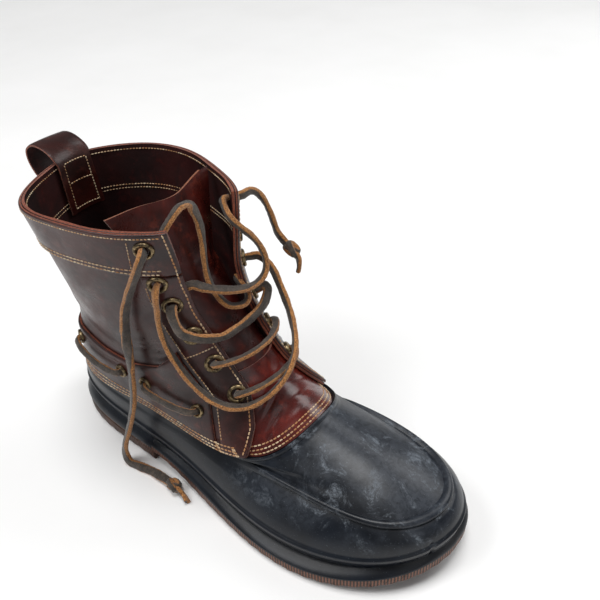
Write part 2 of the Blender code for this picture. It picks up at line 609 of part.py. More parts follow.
def tongue_middle(spread, climb):
    """The tongue's outer face: seated under the plug, then standing back from the throat."""
    turn = 1 + spread * along_table(climb, TONGUE_SEAT)
    seated = offset_surface(turn, climb, -(LEATHER + 2 * LAYER_GAP + GAP))
    places = [ROW[line.row] + line.extra for line in TONGUE_LINES]
    along, up, wide, bow = (np.interp(climb, places, [line[key] for line in TONGUE_LINES]) for key in (2, 3, 4, 5))
    leaning = np.stack([along * LENGTH - HEEL_REST - bow * HALF_BALL * spread ** 2,
                        HALF_BALL * (TONGUE_MIDDLE + wide * spread),
                        HEEL_HEIGHT + up * UPPER_HEIGHT], axis=-1)
    share = smooth_step(climb, 7.2, 8.8)[..., None]
    return seated * (1 - share) + leaning * share


def build_tongue(material):
    """Wide soft tongue, under the plug at its foot and across the shaft at its top."""
    rows, columns = 11, 9
    climb = np.linspace(ROW["rim"] + 0.6, ROW["collar"], rows)[:, None] + np.zeros((1, columns))
    spread = np.linspace(-1, 1, columns)[None, :] + np.zeros((rows, 1))
    face = tongue_middle(spread, climb)
    step = 1e-3
    out = np.cross(tongue_middle(spread + step, climb) - face, face - tongue_middle(spread, climb - step))
    out /= np.linalg.norm(out, axis=-1, keepdims=True)
    return sheet("tongue", face, face - TONGUE * out, material)


def band_bottom(turn):
    """The collar band's lower edge."""
    return climb_by(turn, "collar", -BAND_HEIGHT)


def build_collar_band(material):
    """The band round the collar, from throat edge to throat edge."""
    rows, columns = 3, 38
    around = np.linspace(0, 1, columns)[None, :]
    share = np.linspace(0, 1, rows)[:, None]
    climb = np.full((rows, columns), float(ROW["collar"]))
    for _ in range(3):
        throat = along_table(climb, THROAT)
        turn = 1 + throat + around * (2 - 2 * throat)
        climb = band_bottom(turn) * (1 - share) + ROW["collar"] * share
    return patch("collar_band", turn, climb, TRIM_BASE, TRIM_BASE + TRIM, material)


def build_eyestay(name, side, material):
    """The stay that carries the lower five eyelets of one side."""
    rows, columns = 11, 5
    share = np.linspace(0, 1, rows)[:, None]
    across = np.linspace(0, 1, columns)[None, :]
    climb = ROW["rim"] + share * (ROW["collar"] - ROW["rim"]) + 0 * across
    for _ in range(3):
        front, rear = along_table(climb, THROAT), along_table(climb, EYESTAY_SEAM)
        turn = 1 - (front * (1 - across) + rear * across)
        low = climb_by(turn, "rim", 2 * GAP)
        high = climb_by(turn, "collar", -BAND_HEIGHT - 2 * GAP)
        climb = low * (1 - share) + high * share
    turn = turn if side < 0 else 2 - turn
    return patch(name, turn, climb, TRIM_BASE, TRIM_BASE + TRIM, material)


def build_side_panel(name, side, material):
    """The low panel behind the eyestay, which carries the side lace."""
    rows, columns = 5, 15
    share = np.linspace(0, 1, rows)[:, None]
    across = np.linspace(0, 1, columns)[None, :]
    strip = BACK_STRIP_WIDTH / 2 + 2 * GAP
    climb = ROW["rim"] + share + 0 * across
    for _ in range(3):
        front = 1 - along_table(climb, EYESTAY_SEAM) - 3 * GAP / HALF_BALL
        pace = np.linalg.norm(tangents(0.0 * climb, climb)[0], axis=-1)
        rear = strip / pace
        turn = rear * (1 - across) + front * across
        low = climb_by(turn, "rim", 2 * GAP)
        high = np.interp(turn, *zip(*PANEL_TOP))
        climb = low * (1 - share) + high * share
    turn = turn if side < 0 else 2 - turn
    return patch(name, turn, climb, TRIM_BASE, TRIM_BASE + TRIM, material)


def build_back_strip(material):
    """The strip over the back seam, from the rubber's lip to the collar band."""
    rows, columns = 9, 4
    share = np.linspace(0, 1, rows)[:, None]
    across = np.linspace(-0.5, 0.5, columns)[None, :]
    climb = ROW["rim"] + share * 3 + 0 * across
    for _ in range(3):
        pace = np.linalg.norm(tangents(0.0 * climb, climb)[0], axis=-1)
        turn = across * BACK_STRIP_WIDTH / pace
        low = climb_by(turn, "rim", 2 * GAP)
        high = climb_by(turn, "collar", -BAND_HEIGHT - 2 * GAP)
        climb = low * (1 - share) + high * share
    return patch("back_strip", turn, climb, TRIM_BASE, TRIM_BASE + TRIM, material)


# The pull loop's free bow: back from the collar and up over it, shares of LOOP_WIDTH, then
# how far its row still follows the curve of the rim
LOOP_BOW = ((0.02, 0.10, 1.0), (-0.16, 0.24, 0.8), (-0.46, 0.33, 0.5), (-0.80, 0.30, 0.4), (-1.08, 0.10, 0.4),
            (-1.12, -0.20, 0.5), (-0.96, -0.50, 0.7), (-0.62, -0.74, 0.9))


def build_pull_loop(material):
    """A strap sewn inside the back of the collar, bowed out over it and down its outside."""
    across = np.linspace(-0.5, 0.5, 4) * LOOP_WIDTH
    inner_offset = -2 * LAYER_GAP - GAP
    outer_offset = EYELET_BASE + GAP
    legs = {}
    for key, distances, offset in (("inside", (-0.034, -0.022, -0.011, -0.002), inner_offset - LOOP_STRAP / 2),
                                   ("outside", (-0.0225, -0.0250, -0.0275), outer_offset + LOOP_STRAP / 2)):
        legs[key] = []
        for distance in distances:
            at = ROW["collar"] + 0 * across
            pace = np.linalg.norm(tangents(0 * across, at)[0], axis=-1)
            turn = across / pace
            climb = climb_by(turn, "collar", distance)
            legs[key].append(offset_surface(turn, climb, offset))
    rim = ROW["collar"] + 0 * across
    pace = np.linalg.norm(tangents(0 * across, rim)[0], axis=-1)
    root = last_surface(np.array([0.0]), np.array([float(ROW["collar"])]))[0]
    sway = last_surface(across / pace, rim) - root
    bow = []
    for back, up, share in LOOP_BOW:
        place = root + LOOP_WIDTH * np.array([back, 0.0, up])
        bow.append(place + sway * np.array([share, 1.0, share]))
    lines = np.stack(legs["inside"] + bow + legs["outside"])
    face = np.cross(np.gradient(lines, axis=0), np.gradient(lines, axis=1))
    face /= np.linalg.norm(face, axis=2, keepdims=True)
    half = LOOP_STRAP / 2 * face
    return sheet("pull_loop", lines + half, lines - half, material)


def seat_place(seat, side):
    """Turn and climb of an eyelet's seat on one side."""
    turn = seat.turn if side < 0 else 2 - seat.turn
    return turn, ROW[seat.row] + seat.extra


def build_eyelet(name, seat, side, radius, material):
    """A rolled ring on the trim, whose foot follows the curve of the leather."""
    turn, climb = seat_place(seat, side)
    around, upward = tangents(np.array([turn]), np.array([climb]))
    jacobian = np.stack([around[0], upward[0]], axis=1)
    solve = np.linalg.pinv(jacobian)
    unit_a = around[0] / np.linalg.norm(around[0])
    out = np.cross(around[0], upward[0])
    out /= np.linalg.norm(out)
    unit_b = np.cross(out, unit_a)
    count = 8
    profile = ((EYELET_BORE * radius, 0.0), (radius, 0.0), (0.90 * radius, EYELET_HEIGHT),
               ((EYELET_BORE + 0.10) * radius, EYELET_HEIGHT))
    sections = []
    for k in range(count):
        angle = 2 * math.pi * k / count
        section = []
        for reach, height in profile:
            shift = reach * (math.cos(angle) * unit_a + math.sin(angle) * unit_b)
            step = solve @ shift
            section.append(offset_surface(turn + step[0], climb + step[1],
                                          EYELET_BASE + height))
        sections.append(section)
    return hoop(name, np.array(sections), material)


def smooth_path(route, spacing):
    """Points a given way apart on a smooth curve through the route's own points."""
    route = np.asarray(route, float)
    padded = np.vstack([2 * route[0] - route[1], route, 2 * route[-1] - route[-2]])
    t = np.linspace(0, 1, 12, endpoint=False)[:, None]
    runs = []
    for a, b, c, d in zip(padded, padded[1:], padded[2:], padded[3:]):
        runs.append(0.5 * (2 * b + (c - a) * t + (2 * a - 5 * b + 4 * c - d) * t ** 2
                           + (3 * b - a - 3 * c + d) * t ** 3))
    fine = np.vstack(runs + [route[-1:]])
    way = np.concatenate([[0], np.cumsum(np.linalg.norm(np.diff(fine, axis=0), axis=1))])
    count = max(2, round(way[-1] / spacing) + 1)
    marks = np.linspace(0, way[-1], count)
    return np.stack([np.interp(marks, way, fine[:, axis]) for axis in range(3)], axis=1)


def build_cord(name, route, material):
    """A free lace as a round tube along its route."""
    curve = bpy.data.curves.new(name, "CURVE")
    curve.dimensions = "3D"
    curve.bevel_depth = CORD_RADIUS
    curve.bevel_resolution = 2
    curve.use_fill_caps = True
    points = np.vstack([route[:1], smooth_path(route[1:-1], 6 * CORD_RADIUS), route[-1:]])
    spline = curve.splines.new("POLY")
    spline.points.add(len(points) - 1)
    for target, point in zip(spline.points, points):
        target.co = (*point, 1.0)
    curve.materials.append(material)
    item = bpy.data.objects.new(name, curve)
    bpy.context.scene.collection.objects.link(item)
    return item


def build_knot(name, centre, ahead, material):
    """A tied knot's outer shape, long in the direction of its lace."""
    mesh = bpy.data.meshes.new(name)
    shape = bmesh.new()
    bmesh.ops.create_uvsphere(shape, u_segments=7, v_segments=5, radius=0.5)
    bmesh.ops.scale(shape, vec=(KNOT_WIDTH, KNOT_WIDTH, KNOT_LENGTH), verts=shape.verts)
    turn = Vector(ahead).to_track_quat("Z", "Y").to_matrix()
    bmesh.ops.rotate(shape, cent=(0, 0, 0), matrix=turn, verts=shape.verts)
    bmesh.ops.translate(shape, vec=centre, verts=shape.verts)
    shape.to_mesh(mesh)
    shape.free()
    mesh.materials.append(material)
    item = bpy.data.objects.new(name, mesh)
    bpy.context.scene.collection.objects.link(item)
    return item


def build_free_end(label, route, knot, tail, material):
    """A lace's free end: the hanging run, its knot and the short tail past it."""
    build_cord("lace_end_" + label, route, material)
    ahead = np.array(tail[0]) - np.array(route[-1])
    build_knot("lace_knot_" + label, knot, ahead, material)
    build_cord("lace_tail_" + label, tail, material)


def build_lace_bar(name, start, end, sag, width, thickness, material):
    """A flat bar of lace between two eyelets: out of one bore, over the leather, into the other."""
    start, end = np.array(start), np.array(end)
    ends = last_surface(np.array([start[0], end[0]]), np.array([start[1], end[1]]))
    reach = np.linalg.norm(ends[1] - ends[0])
    ways = [way for way, _ in BAR_RISE]
    rise = [height for _, height in BAR_RISE]
    between = np.linspace(ways[-1], reach - ways[-1], 5)[1:-1]
    marks = np.concatenate([ways, between, [reach - way for way in ways[::-1]]]) / reach
    heights = np.concatenate([rise, [rise[-1]] * len(between), rise[::-1]])
    place = start * (1 - marks[:, None]) + end * marks[:, None]
    place[:, 1] -= sag * 4 * marks * (1 - marks)
    path = offset_surface(place[:, 0], place[:, 1], EYELET_BASE + heights)
    out = normals(place[:, 0], place[:, 1])
    chord = path[-1] - path[0]
    across = np.cross(out, chord)
    across /= np.linalg.norm(across, axis=1, keepdims=True)
    along = np.gradient(path, axis=0)
    along[0], along[-1] = out[0], -out[-1]
    through = np.cross(along, across)
    through /= np.linalg.norm(through, axis=1, keepdims=True)
    half_wide, half_thick = width / 2 * across, thickness / 2 * through
    corners = [path + half_wide + half_thick, path + half_wide - half_thick,
               path - half_wide - half_thick, path - half_wide + half_thick]
    count = len(path)
    points = np.concatenate(corners)
    faces = []
    for corner in range(4):
        a, b = corner * count, (corner + 1) % 4 * count
        for i in range(count - 1):
            faces.append((a + i, b + i, b + i + 1, a + i + 1))
    faces.append(tuple(corner * count for corner in range(4)))
    faces.append(tuple(corner * count + count - 1 for corner in range(4)))
    return make_object(name, points, faces, material)


def build_laces(material):
    """Bars over the vamp and along the sides, the loops over the throat and the two free ends."""
    for number, sag in ((5, 0.10), (6, 0.06)):
        seat = EYELETS[number - 1]
        build_lace_bar(f"lace_bar_{number}", seat_place(seat, -1), seat_place(seat, 1), sag,
                       LACE_WIDTH, LACE_THICKNESS, material)
    for label, side in (("lateral", -1), ("medial", 1)):
        for where, first in (("rear", 0), ("front", 2)):
            build_lace_bar(f"side_lace_{label}_{where}", seat_place(SIDE_EYELETS[first], side),
                           seat_place(SIDE_EYELETS[first + 1], side), 0.07,
                           SIDE_LACE_WIDTH, SIDE_LACE_THICKNESS, material)
    build_cord("lace_loop_low", LOW_LOOP, material)
    build_cord("lace_loop_middle", MIDDLE_LOOP, material)
    build_cord("lace_loop_throat", THROAT_LOOP, material)
    build_cord("lace_loop_hanging", HANGING_LOOP, material)
    build_free_end("lateral", LATERAL_END, LATERAL_KNOT, LATERAL_TAIL, material)
    build_free_end("medial", MEDIAL_END, MEDIAL_KNOT, MEDIAL_TAIL, material)


def main():
    """Builds every piece."""
    remove_scene_objects()
    gum = make_material("gum_rubber", (0.36, 0.23, 0.16), 0.6)
    rubber = make_material("navy_rubber", (0.035, 0.045, 0.065), 0.5)
    leather = make_material("burgundy_leather", (0.16, 0.045, 0.035), 0.35)
    trim = make_material("burgundy_trim", (0.19, 0.055, 0.04), 0.35)
    brass = make_material("antique_brass", (0.30, 0.23, 0.15), 0.4, 1.0)
    felt = make_material("insole_fabric", (0.25, 0.22, 0.20), 0.9)
    lace = make_material("lace_leather", (0.22, 0.13, 0.07), 0.7)
    build_outsole(gum)
    build_rubber_shell(rubber)
    build_insole(felt)
    build_shaft(leather)
    build_vamp_plug(leather)
    build_tongue(leather)
    build_collar_band(trim)
    build_back_strip(trim)
    build_pull_loop(trim)
    for label, side in (("lateral", -1), ("medial", 1)):
        build_eyestay("eyestay_" + label, side, trim)
        build_side_panel("side_panel_" + label, side, trim)
        for number, seat in enumerate(EYELETS, 1):
            build_eyelet(f"eyelet_{label}_{number}", seat, side, EYELET_RADIUS, brass)
        for number, seat in enumerate(SIDE_EYELETS, 1):
            build_eyelet(f"side_eyelet_{label}_{number}", seat, side, SIDE_EYELET_RADIUS, brass)
    build_laces(lace)


main()
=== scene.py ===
"""Looks of the right-foot duck boot: leather shaft, rubber shell, gum outsole and leather laces.

Metres, +X to the toe, +Y to the inner side of the foot, +Z up, the origin under the heel. Every
wall is read from one surface: turn goes round the foot (0 heel, 1 toe, 2 heel again, the outer
side first) and climb goes up through the rows of RINGS.
"""

import logging
import math
from collections.abc import Callable, Sequence
from dataclasses import dataclass
from enum import Enum
from typing import NamedTuple

import bpy
import numpy as np
from mathutils import Matrix


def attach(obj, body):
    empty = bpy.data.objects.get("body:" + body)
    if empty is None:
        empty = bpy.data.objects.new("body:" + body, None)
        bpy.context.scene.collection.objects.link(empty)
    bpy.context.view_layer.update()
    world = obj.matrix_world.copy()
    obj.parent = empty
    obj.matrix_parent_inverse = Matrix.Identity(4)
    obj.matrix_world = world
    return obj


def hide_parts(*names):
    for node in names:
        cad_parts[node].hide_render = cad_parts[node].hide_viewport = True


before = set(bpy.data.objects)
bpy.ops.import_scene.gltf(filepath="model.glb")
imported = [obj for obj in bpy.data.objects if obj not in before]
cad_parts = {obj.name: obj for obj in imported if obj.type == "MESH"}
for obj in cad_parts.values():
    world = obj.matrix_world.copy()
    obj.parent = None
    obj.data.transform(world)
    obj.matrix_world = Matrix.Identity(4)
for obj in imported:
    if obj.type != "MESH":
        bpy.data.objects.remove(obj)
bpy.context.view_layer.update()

Array = np.ndarray
Line = tuple[Array, Array]
log = logging.getLogger("duck_boot")


@dataclass(frozen=True)
class Sizes:
    """The boot's sizes in metres, as in the solids."""

    length: float = 0.316
    half_ball: float = 0.05175
    heel_height: float = 0.0226
    upper_height: float = 0.1774
    heel_length: float = 0.1035
    forefoot_edge: float = 0.0132
    toe_spring: float = 0.0125
    arch_rise: float = 0.0080
    gap: float = 0.0003
    layer_gap: float = 0.0006
    rubber: float = 0.0030
    leather: float = 0.0021
    trim: float = 0.0013
    band_height: float = 0.028
    strip_width: float = 0.024
    lip_width: float = 0.0032

    @property
    def heel_rest(self) -> float:
        """Distance from the heel's back to the origin."""
        return self.heel_length / 2

    @property
    def trim_base(self) -> float:
        """Height of a trim's underside over the surface."""
        return self.leather + self.layer_gap

    @property
    def trim_top(self) -> float:
        """Height of a trim's face over the surface."""
        return self.trim_base + self.trim

    @property
    def plug_top(self) -> float:
        """Height of the vamp plug's face, which lies under the quarters."""
        return -self.layer_gap - self.gap


SIZES = Sizes()
WIDTH_STATIONS = (0.0, 0.15, 0.28, 0.45, 0.62, 0.82, 1.0)
HEIGHT_STATIONS = (0.0, 0.45, 0.62, 0.82, 1.0)


class Ring(NamedTuple):
    """One row: ends as shares of the length, half widths and middles of the half ball, heights of the upper."""

    name: str
    ends: tuple[float, float]
    half: tuple[float, ...]
    middle: tuple[float, ...]
    rise: tuple[float, ...]


RINGS = (
    Ring("feather", (0.015, 0.988), (0.53, 0.68, 0.70, 0.98, 0.70),
         (-0.01, -0.06, -0.09, 0.03, 0.15, 0.20), (0.000, 0.000, 0.000, 0.000, 0.000)),
    Ring("foxing", (0.009, 0.994), (0.56, 0.72, 0.74, 1.04, 0.76),
         (-0.01, -0.06, -0.09, 0.03, 0.15, 0.20), (0.058, 0.058, 0.072, 0.064, 0.061)),
    Ring("wall", (0.010, 0.985), (0.57, 0.72, 0.73, 0.94, 0.73),
         (-0.01, -0.06, -0.07, 0.05, 0.15, 0.20), (0.106, 0.122, 0.144, 0.117, 0.096)),
    Ring("ridge", (0.018, 0.963), (0.56, 0.70, 0.71, 0.75, 0.61),
         (-0.02, -0.05, -0.04, 0.07, 0.14, 0.20), (0.149, 0.154, 0.213, 0.163, 0.124)),
    Ring("crown", (0.033, 0.885), (0.55, 0.69, 0.71, 0.72, 0.53),
         (-0.02, -0.06, -0.02, 0.06, 0.12, 0.14), (0.176, 0.173, 0.229, 0.207, 0.183)),
    Ring("vamp", (0.051, 0.790), (0.54, 0.69, 0.72, 0.75, 0.57),
         (-0.03, -0.07, -0.02, 0.04, 0.08, 0.10), (0.205, 0.191, 0.229, 0.231, 0.231)),
    Ring("rim", (0.071, 0.694), (0.52, 0.73, 0.73, 0.80, 0.66),
         (-0.04, -0.07, -0.02, 0.02, 0.04, 0.06), (0.234, 0.207, 0.241, 0.234, 0.277)),
    Ring("instep", (0.098, 0.592), (0.55, 0.72, 0.76, 0.71, 0.47),
         (-0.05, -0.09, -0.04, -0.02, 0.00, 0.00), (0.340, 0.335, 0.383, 0.402, 0.399)),
    Ring("ankle", (0.112, 0.509), (0.53, 0.68, 0.77, 0.70, 0.46),
         (-0.06, -0.07, -0.05, -0.04, -0.02, -0.02), (0.500, 0.527, 0.574, 0.585, 0.574)),
    Ring("calf", (0.089, 0.473), (0.46, 0.73, 0.86, 0.75, 0.51),
         (-0.04, -0.09, -0.07, -0.06, -0.04, -0.04), (0.702, 0.729, 0.766, 0.755, 0.734)),
    Ring("collar", (0.071, 0.491), (0.45, 0.87, 1.01, 0.85, 0.48),
         (-0.05, -0.12, -0.08, -0.09, -0.05, -0.04), (1.000, 1.027, 1.053, 1.016, 0.984)),
)
ROW = {ring.name: index for index, ring in enumerate(RINGS)}
SOLE_HALF = (0.63, 0.77, 0.80, 1.12, 0.84)
SOLE_MIDDLE = (0.00, -0.07, -0.10, 0.01, 0.17, 0.26)

# Edges on the front: climb, and the way from the toe as a share of half the way round
THROAT = ((6.0, 0.236), (6.5, 0.160), (7.0, 0.118), (8.0, 0.120), (9.0, 0.122), (9.5, 0.150), (10.0, 0.190))
EYESTAY_SEAM = ((6.0, 0.305), (6.3, 0.285), (6.67, 0.265), (7.0, 0.246), (7.6, 0.262), (8.0, 0.268),
                (9.0, 0.272), (10.0, 0.300))
PLUG_EDGE = ((6.0, 0.285), (6.5, 0.210), (7.0, 0.168), (7.3, 0.165))
TONGUE_SEAT = ((6.6, 0.130), (7.2, 0.175), (8.0, 0.230))
# The free tongue: climb, place along, height, half width, how far its edges lie back
TONGUE_LINES = ((7.5, 0.531, 0.487, 0.40, 0.24), (8.0, 0.493, 0.583, 0.41, 0.24), (9.0, 0.430, 0.763, 0.46, 0.19),
                (9.5, 0.393, 0.893, 0.63, 0.11), (10.0, 0.362, 1.017, 0.78, 0.06))
TONGUE_MIDDLE = -0.07
PANEL_TOP = ((0.00, 7.70), (0.20, 7.64), (0.38, 7.54), (0.52, 7.52), (0.62, 7.62), (0.73, 7.92))
# Eyelets' seats: turn on the outer side, climb
EYELETS = ((0.742, 9.80), (0.772, 9.30), (0.806, 8.90), (0.816, 8.17), (0.828, 7.58), (0.838, 7.02))
SIDE_EYELETS = ((0.219, 7.30), (0.440, 7.20), (0.524, 7.12), (0.682, 6.80))
BAR_RISE = ((0.0, -0.0012), (0.0, 0.0010), (0.0007, 0.0026), (0.0026, 0.0037), (0.0058, 0.0041), (0.0090, 0.0042))
# The strap's bow in shares of its width: back, up, and how far its rows follow the rim's curve
LOOP_BOW = ((0.02, 0.10, 1.0), (-0.16, 0.24, 0.8), (-0.46, 0.33, 0.5), (-0.80, 0.30, 0.4), (-1.08, 0.10, 0.4),
            (-1.12, -0.20, 0.5), (-0.96, -0.50, 0.7), (-0.62, -0.74, 0.9))
LOOP_WIDTH = 0.026
LOOP_STRAP = 0.0020

# Routes of the free laces, as in the solids
LATERAL_END = ((0.0845, -0.0406, 0.1896), (0.0871, -0.0443, 0.1892), (0.0872, -0.0475, 0.1855),
               (0.0820, -0.0480, 0.1760), (0.0730, -0.0480, 0.1610), (0.0660, -0.0490, 0.1450),
               (0.0618, -0.0495, 0.1270), (0.0600, -0.0505, 0.0990), (0.0570, -0.0530, 0.0700),
               (0.0490, -0.0555, 0.0440), (0.0400, -0.0570, 0.0220), (0.0372, -0.0575, 0.0085),
               (0.0410, -0.0580, 0.0030), (0.0490, -0.0565, 0.0029), (0.0590, -0.0545, 0.0030),
               (0.0690, -0.0540, 0.0036), (0.0762, -0.0543, 0.0046))
LATERAL_KNOT = (0.0835, -0.0548, 0.0054)
LATERAL_TAIL = ((0.0902, -0.0556, 0.0048), (0.0925, -0.0558, 0.0038), (0.0955, -0.0565, 0.0032),
                (0.0990, -0.0578, 0.0029))
MEDIAL_END = ((0.0840, 0.0342, 0.1898), (0.0861, 0.0382, 0.1897), (0.0868, 0.0440, 0.1898), (0.0878, 0.0490, 0.1868),
              (0.0896, 0.0530, 0.1800), (0.0921, 0.0550, 0.1716), (0.0940, 0.0560, 0.1630),
              (0.0962, 0.0566, 0.1565), (0.1005, 0.0570, 0.1520))
MEDIAL_KNOT = (0.1066, 0.0572, 0.1478)
MEDIAL_TAIL = ((0.1114, 0.0574, 0.1427), (0.1119, 0.0574, 0.1400), (0.1119, 0.0574, 0.1360),
               (0.1112, 0.0574, 0.1325))
LOW_LOOP = ((0.0858, -0.0373, 0.1653), (0.0884, -0.0409, 0.1650), (0.0897, -0.0432, 0.1600),
            (0.0880, -0.0420, 0.1530), (0.0863, -0.0418, 0.1430), (0.0865, -0.0415, 0.1330),
            (0.0890, -0.0415, 0.1240), (0.0935, -0.0415, 0.1170), (0.0990, -0.0410, 0.1090),
            (0.1050, -0.0400, 0.1020), (0.1115, -0.0385, 0.0960), (0.1185, -0.0370, 0.0925),
            (0.1280, -0.0335, 0.0905), (0.1365, -0.0265, 0.0905), (0.1425, -0.0170, 0.0935),
            (0.1460, -0.0080, 0.0985), (0.1470, 0.0010, 0.1045), (0.1435, 0.0110, 0.1095),
            (0.1370, 0.0200, 0.1135), (0.1290, 0.0275, 0.1180), (0.1215, 0.0325, 0.1245),
            (0.1130, 0.0360, 0.1340), (0.1050, 0.0385, 0.1430), (0.0970, 0.0370, 0.1495),
            (0.0928, 0.0325, 0.1503), (0.0902, 0.0294, 0.1500))
MIDDLE_LOOP = ((0.0904, -0.0333, 0.1498), (0.0934, -0.0366, 0.1500), (0.0968, -0.0385, 0.1450),
               (0.0990, -0.0368, 0.1370), (0.1030, -0.0330, 0.1330), (0.1080, -0.0270, 0.1300),
               (0.1115, -0.0170, 0.1265), (0.1120, -0.0050, 0.1250), (0.1125, 0.0080, 0.1255),
               (0.1120, 0.0200, 0.1280), (0.1080, 0.0295, 0.1315), (0.1030, 0.0318, 0.1322),
               (0.0989, 0.0269, 0.1298))
THROAT_LOOP = ((0.0864, -0.0296, 0.1930), (0.0890, -0.0270, 0.1990), (0.0910, -0.0220, 0.2050),
               (0.0900, -0.0150, 0.2070), (0.0880, -0.0070, 0.2040), (0.0865, -0.0020, 0.1960),
               (0.0868, 0.0000, 0.1860), (0.0880, -0.0010, 0.1750), (0.0895, -0.0030, 0.1640),
               (0.0930, -0.0050, 0.1540), (0.0985, -0.0050, 0.1450), (0.1045, -0.0020, 0.1380),
               (0.1075, 0.0060, 0.1345), (0.1070, 0.0120, 0.1350), (0.1035, 0.0155, 0.1375),
               (0.0975, 0.0172, 0.1395), (0.0906, 0.0199, 0.1404))
HANGING_LOOP = ((0.0813, 0.0292, 0.1901), (0.0840, 0.0230, 0.1920), (0.0890, 0.0195, 0.1890), (0.0950, 0.0175, 0.1855),
                (0.0998, 0.0200, 0.1800), (0.1025, 0.0250, 0.1730), (0.1050, 0.0290, 0.1650),
                (0.1070, 0.0310, 0.1560), (0.1085, 0.0290, 0.1480), (0.1088, 0.0230, 0.1440),
                (0.1085, 0.0140, 0.1440), (0.1070, 0.0040, 0.1470), (0.1035, -0.0070, 0.1520),
                (0.0985, -0.0145, 0.1560), (0.0945, -0.0182, 0.1585),
                (0.0913, -0.0212, 0.1575), (0.0877, -0.0246, 0.1555))


def smooth_step(value: Array, start: float, end: float) -> Array:
    """Rises from 0 at start to 1 at end with soft ends: t squared times 3 minus 2 t."""
    t = np.clip((np.asarray(value, float) - start) / (end - start), 0, 1)
    return t * t * (3 - 2 * t)


def unit(vectors: Array) -> Array:
    """Vectors at length one, along the last axis."""
    return vectors / np.linalg.norm(vectors, axis=-1, keepdims=True)


def table(places: Array, rows: Sequence[tuple[float, ...]], column: int = 1) -> Array:
    """A column of a table, read straight between its rows."""
    return np.interp(places, [row[0] for row in rows], [row[column] for row in rows])


def smooth_route(route: Sequence[Sequence[float]], spacing: float) -> Array:
    """Points evenly apart on a Catmull-Rom curve.

    Args:
        route: the curve's own points.
        spacing: the way between two points asked, in metres.

    Returns:
        Points on the curve, its two ends among them.
    """
    knots = np.asarray(route, float)
    padded = np.vstack([2 * knots[0] - knots[1], knots, 2 * knots[-1] - knots[-2]])
    t = np.linspace(0, 1, 16, endpoint=False)[None, :, None]
    a, b, c, d = (padded[shift:len(padded) - 3 + shift][:, None, :] for shift in range(4))
    runs = 0.5 * (2 * b + (c - a) * t + (2 * a - 5 * b + 4 * c - d) * t ** 2 + (3 * b - a - 3 * c + d) * t ** 3)
    fine = np.vstack([runs.reshape(-1, knots.shape[1]), knots[-1:]])
    way = np.concatenate([[0], np.cumsum(np.linalg.norm(np.diff(fine, axis=0), axis=1))])
    marks = np.linspace(0, way[-1], max(3, round(way[-1] / spacing) + 1))
    return np.stack([np.interp(marks, way, fine[:, axis]) for axis in range(fine.shape[1])], axis=1)


